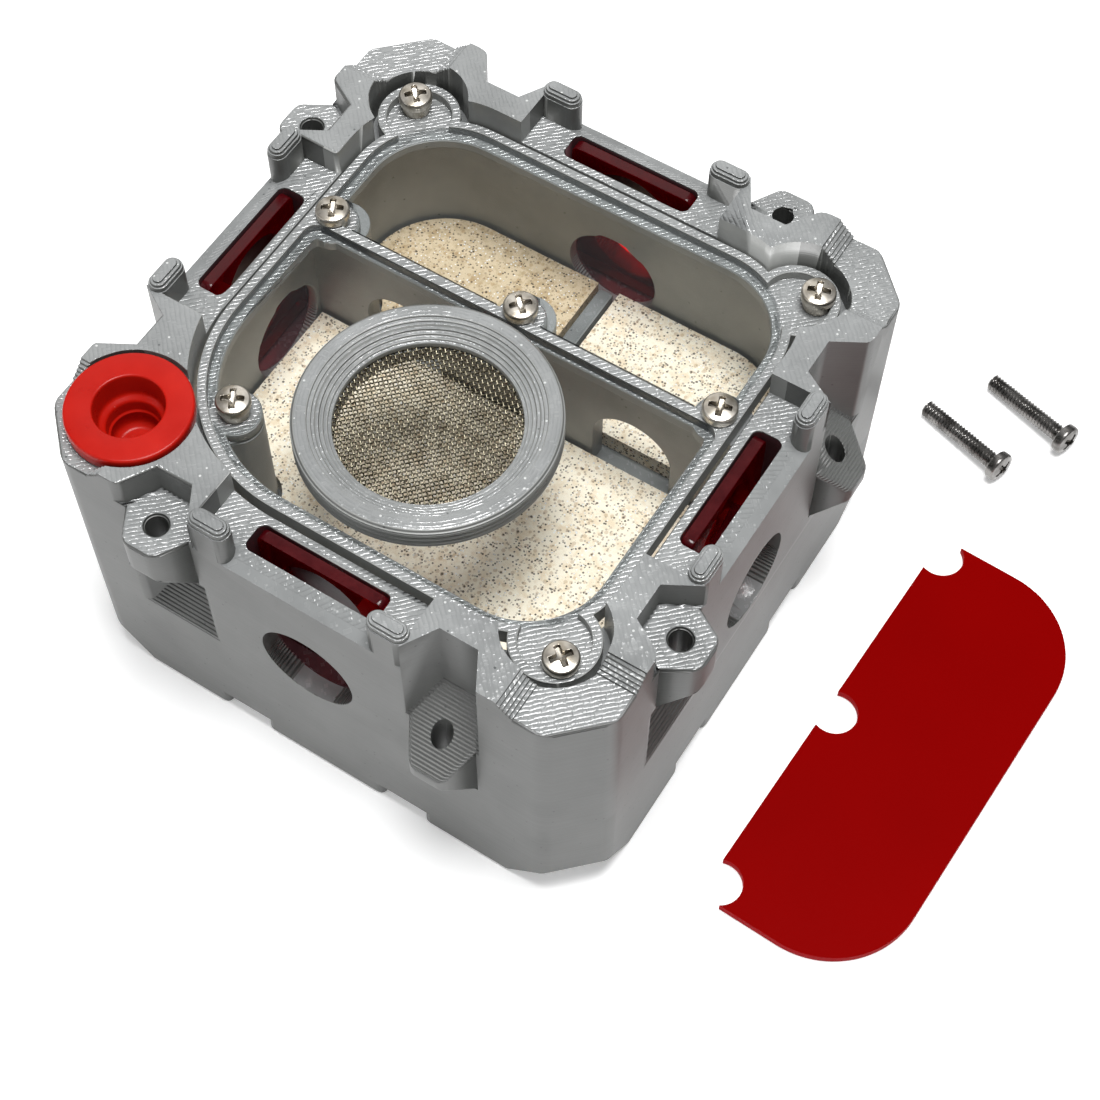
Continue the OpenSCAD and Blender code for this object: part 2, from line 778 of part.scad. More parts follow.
// Ring that holds the mesh from below
module mesh_retainer() {
    color(printed)
    translate([0, vent_y, lid_rim_z - spigot_drop + mesh_t]) rotate_extrude()
        polygon([
            [mesh_open_r, 0], [spigot_in_r - panel_gap, 0],
            [spigot_in_r - panel_gap, spigot_drop], [mesh_open_r, spigot_drop]
        ]);
}

// Filler plug

// Soft plug: flange, ribbed stem and a stepped cup open at the top
module filler_plug() {
    rib_r = port_r - plug_gap;
    neck_r = rib_r - rib_depth;
    cup_r = neck_r - cup_wall;
    edge = flange_t / 5;
    rib_h = stem_len / 7;
    color("#d0322a")
    translate([port_place.x, port_place.y, platform_z + plug_gap]) rotate_extrude()
        polygon([
            [0, cup_wall - stem_len], [cup_core_r, cup_wall - stem_len], [cup_core_r, flange_t - cup_depth],
            [cup_r, flange_t - cup_depth], [cup_r, flange_t - edge], [cup_r + edge, flange_t],
            [flange_r - edge, flange_t], [flange_r, flange_t - edge], [flange_r, edge], [flange_r - edge, 0],
            [neck_r, 0], [neck_r, -rib_h], [rib_r, -rib_h * 1.5], [rib_r, -rib_h * 2], [neck_r, -rib_h * 2.5],
            [neck_r, -rib_h * 3.5], [rib_r, -rib_h * 4], [rib_r, -rib_h * 4.5], [neck_r, -rib_h * 5],
            [neck_r, edge - stem_len], [neck_r - edge, -stem_len], [0, -stem_len]
        ]);
}

// Gates

// Gate plate in its slot on the front wall
module gate_plate() {
    color("#8b0010", 0.8)
    outwards(gate_in_d, gate_in_d + gate_t)
        difference() {
            soft_rect([-gate_w / 2, gate_foot_z], [gate_w / 2, gate_top_z], [slot_r, slot_r, slot_r, slot_r]);
            translate([0, gate_hole_z]) circle(gate_hole_r);
        }
}

module gate_front() { gate_plate(); }
module gate_right() { rotate([0, 0, 90]) gate_plate(); }
module gate_back() { rotate([0, 0, 180]) gate_plate(); }
module gate_left() { rotate([0, 0, 270]) gate_plate(); }

// Moisture plates and wicks

module plate_front() {
    color("#e8d8c0") rise(slab_z, plate_z) nest_front_plan(-plate_gap);
}

// Half of the rear plates: side 1 is the right one
module rear_plate(side) {
    color("#e8d8c0")
    intersection() {
        rise(slab_z, plate_z) nest_back_plan(-plate_gap);
        mirror([side > 0 ? 0 : 1, 0, 0])
            translate([rib_t / 2 + plate_gap, 0, 0]) cube([half, half, body_w]);
    }
}

module plate_back_left() { rear_plate(-1); }
module plate_back_right() { rear_plate(1); }

// Wicks that carry water from the tank up to the plates
module wicks() {
    color("#f0ece0")
    for (p = wick_places) translate(p) rise(floor_t + wick_foot_gap, slab_z) circle(wick_r);
}

// Screws

// Pan head screw standing on z = 0 by its neck, with the head above and the shank below
module pan_screw(length, neck) {
    edge = head_h / 4;
    collar = neck > 0 ? [[shank_r, 0], [collar_r, 0], [collar_r, neck]] : [[shank_r, 0]];
    color(steel)
    rotate_extrude()
        polygon(concat(
            [[0, -length], [shank_r - edge, -length], [shank_r, edge - length]],
            collar,
            [[head_r, neck], [head_r, neck + head_h - 2 * edge],
             [head_r - edge, neck + head_h - edge / 2], [head_r - 3 * edge, neck + head_h],
             [0, neck + head_h]]
        ));
}

module lid_screws(places) {
    for (p = places) translate([p.x, p.y, lid_seat_z]) pan_screw(screw_len, collar_h);
}

module corner_screws() { lid_screws(corner_screw_places); }
module divider_screws() { lid_screws(divider_screw_places); }
module side_screw() { lid_screws([side_screw_place]); }

// Two spare joining screws lying beside the housing, heads and tips on the ground
module spare_screws() {
    tilt = asin((head_r - shank_r) / spare_len);
    for (p = spare_places)
        translate([p.x, p.y, head_r]) rotate([0, 90 + tilt, spare_turn])
            rotate([180, 0, 0]) pan_screw(spare_len, 0);
}

tank_shell();
body_shell();
divider_wall();
joining_ears();
lid_frame();
panel_front();
panel_back();
vent_ring();
vent_mesh();
mesh_retainer();
filler_plug();
gate_front();
gate_right();
gate_back();
gate_left();
corner_screws();
divider_screws();
side_screw();
plate_front();
plate_back_left();
plate_back_right();
wicks();
dark_cover();
spare_screws();
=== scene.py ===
"""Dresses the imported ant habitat: printed housing, clear lid, vent, gates, screws, sand and studio."""

from __future__ import annotations

import logging
import math
from dataclasses import dataclass, field
from enum import Enum
from typing import Any

import bmesh
import bpy
import numpy as np
from mathutils import Matrix, Vector
from mathutils.bvhtree import BVHTree


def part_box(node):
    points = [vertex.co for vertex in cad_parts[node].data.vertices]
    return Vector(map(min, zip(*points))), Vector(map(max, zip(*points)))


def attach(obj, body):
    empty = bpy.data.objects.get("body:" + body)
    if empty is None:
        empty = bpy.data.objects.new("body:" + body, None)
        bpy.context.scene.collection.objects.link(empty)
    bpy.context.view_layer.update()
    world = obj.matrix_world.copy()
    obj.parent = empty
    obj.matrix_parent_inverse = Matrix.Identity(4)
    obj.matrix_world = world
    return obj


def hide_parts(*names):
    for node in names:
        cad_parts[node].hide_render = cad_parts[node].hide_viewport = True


LOG = logging.getLogger("ant_habitat")

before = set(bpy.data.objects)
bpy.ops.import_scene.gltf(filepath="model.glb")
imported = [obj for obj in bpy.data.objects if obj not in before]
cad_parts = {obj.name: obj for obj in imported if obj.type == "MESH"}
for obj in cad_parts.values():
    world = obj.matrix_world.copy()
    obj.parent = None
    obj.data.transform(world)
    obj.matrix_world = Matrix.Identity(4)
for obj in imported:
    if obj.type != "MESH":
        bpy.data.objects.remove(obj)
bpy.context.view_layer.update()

MM = 0.001
"""One millimetre in scene units."""

FLAT_BEND = math.radians(0.6)
"""Faces that meet at less than this angle in radians make one flat face."""

Array = np.ndarray
Socket = bpy.types.NodeSocket
Mesh = tuple[Array, Array]
"""Vertices (n, 3) in metres and quads (m, 4) of their numbers."""


# Colour and node helpers


def linear(colour: str) -> tuple[float, float, float, float]:
    """Turns an sRGB hex colour, six digits after a hash sign, into opaque linear RGBA."""
    channels = [int(colour[i : i + 2], 16) / 255 for i in (1, 3, 5)]
    return (*(c / 12.92 if c <= 0.04045 else ((c + 0.055) / 1.055) ** 2.4 for c in channels), 1.0)


def put(
    tree: bpy.types.NodeTree,
    kind: str,
    *values: Any,
    out: int | str = 0,
    stops: tuple[tuple[float, str], ...] = (),
    **settings: Any,
) -> Socket:
    """Adds one shader node with its settings, plain values and links.

    Args:
        tree: Node tree that gets the node.
        kind: Node type without the leading "ShaderNode".
        values: Numbers, hex colours or sockets for the first inputs, or one dict of them by input.
        out: Name or number of the output that is returned.
        stops: Positions with hex colours for a colour ramp, in rising order.
        settings: Attributes of the node itself.

    Returns:
        The chosen output socket.
    """
    node = tree.nodes.new(f"ShaderNode{kind}")
    for name, value in settings.items():
        setattr(node, name, value)
    inputs = values[0] if values and isinstance(values[0], dict) else dict(enumerate(values))
    for key, value in inputs.items():
        if isinstance(value, bpy.types.NodeSocket):
            tree.links.new(value, node.inputs[key])
        else:
            node.inputs[key].default_value = linear(value) if isinstance(value, str) else value
    if stops:
        marks = node.color_ramp.elements
        marks.remove(marks[1])
        marks[0].position = stops[0][0]
        for position, _ in stops[1:]:
            marks.new(position)
        for mark, (_, colour) in zip(marks, stops):
            mark.color = linear(colour)
    return node.outputs[out]


# Surface helpers


def grid_faces(rows: int, columns: int, wrap: bool) -> Array:
    """Quads of a grid of points: (i, j), (i, j + 1), (i + 1, j + 1), (i + 1, j).

    Args:
        rows: Points along the first parameter.
        columns: Points along the second parameter.
        wrap: True if the last column joins the first.

    Returns:
        The quads as an array (m, 4).
    """
    i, j = np.meshgrid(np.arange(rows - 1), np.arange(columns if wrap else columns - 1), indexing="ij")
    k = (j + 1) % columns
    low, high = i * columns, (i + 1) * columns
    return np.stack([low + j, low + k, high + k, high + j], -1).reshape(-1, 4)


def join(parts: list[Mesh]) -> Mesh:
    """Puts several meshes into one, with the face numbers moved on by the vertices before."""
    starts = np.cumsum([0] + [len(v) for v, _ in parts[:-1]])
    return (
        np.concatenate([v for v, _ in parts]),
        np.concatenate([f + start for (_, f), start in zip(parts, starts)]),
    )


def shape_object(
    name: str, mesh: Mesh, smooth_angle: float = 35.0, weld: float = 1e-7
) -> bpy.types.Object:
    """Makes an object from vertices and quads, with doubles merged and faces pointing outwards.

    Args:
        name: Name of the piece.
        mesh: Vertices and quads; a quad with a repeated corner becomes a triangle.
        smooth_angle: Edges sharper than this, in degrees, stay sharp.
        weld: Distance in metres under which points are merged.

    Returns:
        The new object at the origin.
    """
    vertices, faces = mesh
    data = bpy.data.meshes.new(name)
    data.from_pydata(vertices.tolist(), [], faces.tolist())
    work = bmesh.new()
    work.from_mesh(data)
    bmesh.ops.remove_doubles(work, verts=work.verts, dist=weld)
    bmesh.ops.dissolve_degenerate(work, edges=work.edges, dist=weld)
    bmesh.ops.recalc_face_normals(work, faces=work.faces)
    for face in work.faces:
        face.smooth = True
    limit = math.radians(smooth_angle)
    for edge in work.edges:
        edge.smooth = not (edge.is_manifold and edge.calc_face_angle(0.0) > limit)
    work.to_mesh(data)
    work.free()
    piece = bpy.data.objects.new(name, data)
    bpy.context.scene.collection.objects.link(piece)
    return piece


@dataclass(frozen=True)
class Rounding:
    """Softening of a solid's convex edges, with all sizes in mm.

    Each edge gets the size that is asked for, or less where the flat faces beside it are narrow.
    """

    size: float
    tall: float = 0.0
    """Size on upright edges."""
    seam: float = 0.0
    """Size on edges that lie on the joint to a neighbouring solid."""
    segments: int = 3
    least: float = 0.03
    """Size below which an edge stays sharp."""
    share: float = 0.42
    """Most that a rounding takes of the room beside its edge."""
    crease: float = 28.0
    """Least turn of an edge in degrees that counts as a crease."""
    tall_room: float = 1.2
    """Room beside an upright edge from which it gets its own size."""
    tall_rise: float = 1.4
    """Height of an upright edge from which it gets its own size."""


def inward(face: bmesh.types.BMFace, edge: bmesh.types.BMEdge) -> Vector:
    """Direction in a face's plane that points from one of its edges into the face."""
    loop = next(loop for loop in face.loops if loop.edge == edge)
    return face.normal.cross(loop.link_loop_next.vert.co - loop.vert.co).normalized()


def flat_regions(work: bmesh.types.BMesh) -> list[int]:
    """Numbers the flat regions of a mesh.

    Args:
        work: Mesh with up to date indices.

    Returns:
        The number of each face's region.
    """
    region = [-1] * len(work.faces)
    for count, seed in enumerate(work.faces):
        todo = [seed] if region[seed.index] < 0 else []
        while todo:
            face = todo.pop()
            region[face.index] = count
            for edge in face.edges:
                if edge.is_manifold and edge.calc_face_angle(0.0) < FLAT_BEND:
                    todo.extend(other for other in edge.link_faces if region[other.index] < 0)
    return region


def cross2(a: Array, b: Array) -> Array:
    """Cross product of plane vectors along the last axis."""
    return a[..., 0] * b[..., 1] - a[..., 1] * b[..., 0]


def border_rooms(ends: Array, corners: Array, ways: Array) -> Array:
    """Room beside each border edge of one flat region.

    From three places on each edge a line runs inwards, and the room is the shortest way to another
    border edge. Where two edges meet at a corner of the angle t, an edge of the length L also
    leaves room for no more than L tan(t / 2).

    Args:
        ends: Edge ends in the region's plane, (n, 2, 2).
        corners: Vertex numbers of the ends, (n, 2).
        ways: Unit directions inwards, (n, 2).

    Returns:
        The room of each edge in metres.
    """
    nearest, slack, bent = 1e-7, 1e-6, 0.02
    run = ends[:, 1] - ends[:, 0]
    same = corners[:, None, :, None] == corners[None, :, None, :]
    touching = same.any((2, 3))
    best = np.full(len(ends), np.inf)
    with np.errstate(divide="ignore", invalid="ignore"):
        slope = cross2(ways[:, None], run[None])
        for share in (0.1, 0.5, 0.9):
            gap = ends[None, :, 0] - (ends[:, 0] + share * run)[:, None]
            reach, along = cross2(gap, run[None]) / slope, cross2(gap, ways[:, None]) / slope
            hit = ~touching & (reach > nearest) & (along > -slack) & (along < 1 + slack)
            best = np.minimum(best, np.where(hit, reach, np.inf).min(1))
    length = np.hypot(run[:, 0], run[:, 1])
    unit = run / np.maximum(length, 1e-12)[:, None]
    np.fill_diagonal(touching, False)
    for i, j in zip(*np.nonzero(touching)):
        mine, other = np.argwhere(same[i, j])[0]
        leave, depart = unit[i] * (1 - 2 * mine), unit[j] * (1 - 2 * other)
        if ways[i] @ depart > bent:
            half_angle = 0.5 * math.acos(float(np.clip(leave @ depart, -1, 1)))
            best[i] = min(best[i], length[i] * math.tan(half_angle))
    return best


def crease_rooms(work: bmesh.types.BMesh, creases: list[bmesh.types.BMEdge]) -> dict[int, float]:
    """Room for a rounding at each crease, the smaller of its two sides.

    Args:
        work: Mesh with up to date indices.
        creases: Edges where faces meet at a clear angle.

    Returns:
        The room in metres by edge number.
    """
    region = flat_regions(work)
    borders: dict[int, list[tuple[bmesh.types.BMEdge, bmesh.types.BMFace]]] = {}
    for edge in creases:
        for face in edge.link_faces:
            borders.setdefault(region[face.index], []).append((edge, face))
    rooms = {edge.index: math.inf for edge in creases}
    for border in borders.values():
        normal = border[0][1].normal
        side = normal.orthogonal().normalized()
        plane = np.array([side[:], normal.cross(side)[:]]).T
        ends = np.array([[corner.co[:] for corner in edge.verts] for edge, _ in border]) @ plane
        corners = np.array([[corner.index for corner in edge.verts] for edge, _ in border])
        ways = np.array([inward(face, edge)[:] for edge, face in border]) @ plane
        for (edge, _), room in zip(border, border_rooms(ends, corners, ways)):
            rooms[edge.index] = min(rooms[edge.index], float(room))
    return rooms


def lies_on(
    edge: bmesh.types.BMEdge, neighbour: BVHTree, step: float = 0.04 * MM, gap: float = 0.004 * MM
) -> bool:
    """Tells whether a face beside an edge lies flat on a neighbouring solid.

    Args:
        edge: Edge between two faces.
        neighbour: Surface of the other solid.
        step: Way in metres from the edge into the face, where the distance is taken.
        gap: Largest distance in metres between faces that touch.

    Returns:
        True if one of both faces touches a face of the neighbour that looks against it.
    """
    middle = (edge.verts[0].co + edge.verts[1].co) / 2
    for face in edge.link_faces:
        _, normal, _, _ = neighbour.find_nearest(middle + inward(face, edge) * step, gap)
        if normal is not None and normal.dot(face.normal) < -0.9:
            return True
    return False


def spikes(mesh: bpy.types.Mesh, base: BVHTree, reach: float = 0.3 * MM) -> list[Vector]:
    """Finds points that a rounding threw off its solid's surface.

    Args:
        mesh: Rounded mesh.
        base: Surface before the rounding.
        reach: Farthest distance in metres at which a point still counts as on the surface.

    Returns:
        The corners beside such points, where the edges at fault lie.
    """
    far = {v.index for v in mesh.vertices if base.find_nearest(v.co, reach)[0] is None}
    if not far:
        return []
    beside = {
        corner for face in mesh.polygons if not far.isdisjoint(face.vertices) for corner in face.vertices
    }
    return [mesh.vertices[corner].co.copy() for corner in beside - far]


def folds(
    piece: bpy.types.Object, base: BVHTree, turned: float = 0.3, least: float = 0.002 * MM * MM
) -> Array:
    """Finds triangles that the modifiers left turned against the face they belong to, and spikes.

    Args:
        piece: Object with its modifiers.
        base: Surface before the rounding.
        turned: Cosine between a triangle and its face below which it counts as turned.
        least: Twice the area in square metres from which a triangle is looked at.

    Returns:
        Their places in metres, (k, 3).
    """
    finished = piece.evaluated_get(bpy.context.evaluated_depsgraph_get())
    mesh = finished.to_mesh()
    thrown = np.array([point[:] for point in spikes(mesh, base)]).reshape(-1, 3)
    mesh.calc_loop_triangles()
    place, corner = np.empty(3 * len(mesh.vertices)), np.empty(3 * len(mesh.loop_triangles), int)
    facing, owner = np.empty(3 * len(mesh.polygons)), np.empty(len(mesh.loop_triangles), int)
    mesh.vertices.foreach_get("co", place)
    mesh.loop_triangles.foreach_get("vertices", corner)
    mesh.loop_triangles.foreach_get("polygon_index", owner)
    mesh.polygons.foreach_get("normal", facing)
    finished.to_mesh_clear()
    ends = place.reshape(-1, 3)[corner.reshape(-1, 3)]
    across = np.cross(ends[:, 1] - ends[:, 0], ends[:, 2] - ends[:, 0])
    twice_area = np.linalg.norm(across, axis=1)
    against = (across * facing.reshape(-1, 3)[owner]).sum(1) < turned * twice_area
    return np.concatenate([ends[against & (twice_area > least)].mean(1), thrown])


def settle(
    piece: bpy.types.Object,
    rounds: int = 9,
    calm: float = 0.55,
    beside: float = 0.45 * MM,
    short: float = 3 * MM,
) -> None:
    """Makes the rounding smaller where it folds over itself or throws a spike.

    In each round the edges beside such a place lose part of their size, at first only the short
    ones, and from the middle round on all of them. The last two rounds take all of it.

    Args:
        piece: Object with a bevel that reads the edge weights.
        rounds: Most rounds.
        calm: Share of its size that an edge keeps in a round.
        beside: Distance in metres within which an edge lies beside a place.
        short: Length in metres below which an edge is a short one.
    """
    data = piece.data
    base = BVHTree.FromPolygons([v.co for v in data.vertices], [p.vertices for p in data.polygons])
    place, pair = np.empty(3 * len(data.vertices)), np.empty(2 * len(data.edges), int)
    data.vertices.foreach_get("co", place)
    data.edges.foreach_get("vertices", pair)
    ends = place.reshape(-1, 3)[pair.reshape(-1, 2)]
    start, run = ends[:, 0], ends[:, 1] - ends[:, 0]
    length = np.linalg.norm(run, axis=1)
    weights = np.empty(len(data.edges), np.float32)
    layer = data.attributes["bevel_weight_edge"].data
    layer.foreach_get("value", weights)
    for number in range(rounds):
        spots = folds(piece, base)
        if not len(spots):
            break
        gap = spots[:, None] - start[None]
        along = np.clip((gap * run).sum(2) / np.maximum(length**2, 1e-18), 0, 1)
        away = np.linalg.norm(gap - along[..., None] * run, axis=2).min(0)
        near = (away < beside) & ((length < short) | (number >= rounds // 2))
        weights[near] *= calm if number < rounds - 2 else 0.0
        layer.foreach_set("value", weights)
        data.update_tag()
        bpy.context.view_layer.update()
    LOG.info("%s: %d folds left", piece.name, len(folds(piece, base)))


def soft_copy(
    node: str, name: str, rounding: Rounding, beside: tuple[str, ...] = (), weld: float = 2e-6
) -> bpy.types.Object:
    """Copies a CAD node, merges its triangles into flat faces and rounds its convex edges.

    Args:
        node: CAD node that is copied.
        name: Name of the new piece.
        rounding: Sizes of the rounding.
        beside: CAD nodes that the copied one is joined to.
        weld: Distance in metres under which points are merged.

    Returns:
        The new object at the origin.
    """
    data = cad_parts[node].data.copy()
    data.name = name
    data.materials.clear()
    work = bmesh.new()
    work.from_mesh(data)
    bmesh.ops.remove_doubles(work, verts=work.verts, dist=weld)
    bmesh.ops.dissolve_limit(
        work, angle_limit=FLAT_BEND, verts=work.verts, edges=work.edges, delimit={"NORMAL"}
    )
    work.normal_update()
    for part in (work.verts, work.edges, work.faces):
        part.index_update()
    weights = work.edges.layers.float.new("bevel_weight_edge")
    creases = [
        edge
        for edge in work.edges
        if edge.is_manifold and edge.calc_face_angle(0.0) > math.radians(rounding.crease)
    ]
    for face in work.faces:
        face.smooth = True
    for edge in creases:
        edge.smooth = False
    meshes = [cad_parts[other].data for other in beside]
    neighbours = [
        BVHTree.FromPolygons([v.co for v in mesh.vertices], [p.vertices for p in mesh.polygons])
        for mesh in meshes
    ]
    rooms = crease_rooms(work, creases)
    full = max(rounding.size, rounding.tall)
    for edge in creases:
        if not edge.is_convex:
            continue
        want = rounding.size
        rise = abs(edge.verts[0].co.z - edge.verts[1].co.z)
        upright = rise > rounding.tall_rise * MM and rise > 0.99 * edge.calc_length()
        if rounding.tall and upright and rooms[edge.index] > rounding.tall_room * MM:
            want = rounding.tall
        if any(lies_on(edge, neighbour) for neighbour in neighbours):
            want = rounding.seam
        size = min(want, rounding.share * rooms[edge.index] / MM)
        edge[weights] = size / full if size > rounding.least else 0.0
    work.to_mesh(data)
    work.free()
    piece = bpy.data.objects.new(name, data)
    bpy.context.scene.collection.objects.link(piece)
    bevel = piece.modifiers.new("rounding", "BEVEL")
    bevel.limit_method = "WEIGHT"
    bevel.width = full * MM
    bevel.segments = rounding.segments
    bevel.use_clamp_overlap = False
    bevel.miter_outer = "MITER_SHARP"
    settle(piece)
    bake(piece)
    return piece


def bake(piece: bpy.types.Object, sharp: float = 38.0) -> None:
    """Turns the rounding into the piece's own mesh and shades its flats flat.

    Args:
        piece: Object with its rounding modifier.
        sharp: Edges that turn by more than this, in degrees, stay sharp.
    """
    finished = piece.evaluated_get(bpy.context.evaluated_depsgraph_get())
    data = bpy.data.meshes.new_from_object(finished)
    piece.modifiers.clear()
    old, piece.data = piece.data, data
    name = old.name
    bpy.data.meshes.remove(old)
    data.name = name
    data.set_sharp_from_angle(angle=math.radians(sharp))
    normals = piece.modifiers.new("flat shading", "WEIGHTED_NORMAL")
    normals.keep_sharp = True
    normals.weight = 100


def lathe(profile: Array, centre: tuple[float, float, float], steps: int = 128) -> Mesh:
    """Turns a profile round an upright axis: (r, h) goes to (r cos t, r sin t, h) for each turn t.

    Args:
        profile: Points (n, 2) of radius and height in metres.
        centre: Foot of the axis in metres.
        steps: Points round the circle.

    Returns:
        Vertices and quads; points on the axis are merged later.
    """
    turn = np.linspace(0, 2 * np.pi, steps, endpoint=False)
    r, h = profile[:, :1], profile[:, 1:]
    points = np.stack(
        [centre[0] + r * np.cos(turn), centre[1] + r * np.sin(turn), centre[2] + h + 0 * turn], -1
    ).reshape(-1, 3)
    return points, grid_faces(len(profile), steps, True)


def rounded(points: list[tuple[float, float, float]], steps: int = 5) -> Array:
    """Rounds the corners of a profile with short arcs.

    Each corner (r, h, radius) is replaced by points on a quadratic curve from one tangent point
    to the other: (1 - t)^2 a + 2 t (1 - t) corner + t^2 b.

    Args:
        points: Radius, height and corner size, all in millimetres.
        steps: Points on each arc.

    Returns:
        The profile (n, 2) in metres.
    """
    path = np.array(points)
    out = [path[0, :2]]
    for before, here, after in zip(path[:-2], path[1:-1], path[2:]):
        if here[2] <= 0:
            out.append(here[:2])
            continue
        back, ahead = before[:2] - here[:2], after[:2] - here[:2]
        reach = min(here[2], 0.49 * np.hypot(*back), 0.49 * np.hypot(*ahead))
        a = here[:2] + back / np.hypot(*back) * reach
        b = here[:2] + ahead / np.hypot(*ahead) * reach
        t = np.linspace(0, 1, steps)[:, None]
        out.extend((1 - t) ** 2 * a + 2 * t * (1 - t) * here[:2] + t**2 * b)
    out.append(path[-1, :2])
    return np.array(out) * MM


def soft_noise(shape: tuple[int, int], size: float, seed: int) -> Array:
    """Smooth noise between -1 and 1 on a grid: white noise blurred in frequency space.

    Args:
        shape: Rows and columns.
        size: Blur radius in cells.
        seed: Start of the random draw.

    Returns:
        The noise field.
    """
    white = np.random.default_rng(seed).standard_normal(shape)
    fy, fx = np.fft.fftfreq(shape[0])[:, None], np.fft.fftfreq(shape[1])[None, :]
    soft = np.fft.ifft2(np.fft.fft2(white) * np.exp(-2 * (np.pi * size) ** 2 * (fx**2 + fy**2))).real
    return soft / np.abs(soft).max()


def finish_piece(
    piece: bpy.types.Object, look: bpy.types.Material, body: str, slot: str, *nodes: str
) -> None:
    """Dresses a piece and says what it belongs to.

    Args:
        piece: The finished shape.
        look: Its material.
        body: Body that it moves with.
        slot: Name of its finish; not used.
        nodes: CAD nodes that it stands for.
    """
    piece.data.materials.clear()
    piece.data.materials.append(look)
    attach(piece, body)
    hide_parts(*nodes)
    LOG.info("%s: %d faces, body %s", piece.name, len(piece.data.polygons), body)


# Finishes


@dataclass(frozen=True)
class Finish:
    """One material; each kind of finish draws its own shader."""

    name: str

    def build(self) -> bpy.types.Material:
        """Makes the material, whose own output node gets the finish's shader.

        Returns:
            The new material.
        """
        material = bpy.data.materials.new(self.name)
        material.use_nodes = True
        tree = material.node_tree
        tree.nodes.remove(tree.nodes["Principled BSDF"])
        shader = self.shader(tree, put(tree, "TexCoord", out="Object"))
        tree.links.new(shader, tree.nodes["Material Output"].inputs["Surface"])
        return material

    def shader(self, tree: bpy.types.NodeTree, place: Socket) -> Socket:
        """Draws the finish.

        Args:
            tree: Node tree of the material.
            place: Object coordinates.

        Returns:
            The shader that closes the tree.
        """
        raise NotImplementedError

    @staticmethod
    def slopes(tree: bpy.types.NodeTree) -> list[Socket]:
        """Sizes of the three parts of a face's own normal."""
        parts = put(tree, "SeparateXYZ", put(tree, "NewGeometry", out="True Normal")).node.outputs
        return [put(tree, "Math", part, operation="ABSOLUTE") for part in parts]


class Hatch(Enum):
    """How the top skin of a printed piece is filled."""

    DIAGONAL = "straight lines at 45 degrees, turned between the two top levels"
    RINGS = "rings round the vent's axis"


@dataclass(frozen=True)
class Spot:
    """Sockets that several parts of the printed plastic read."""

    place: Socket
    """Object coordinates."""
    x: Socket
    y: Socket
    z: Socket
    steep: Socket
    """Size of the upright part of the normal."""
    flat: Socket
    """1 on level faces."""
    upper: Socket
    """1 above the level where the top skin changes."""


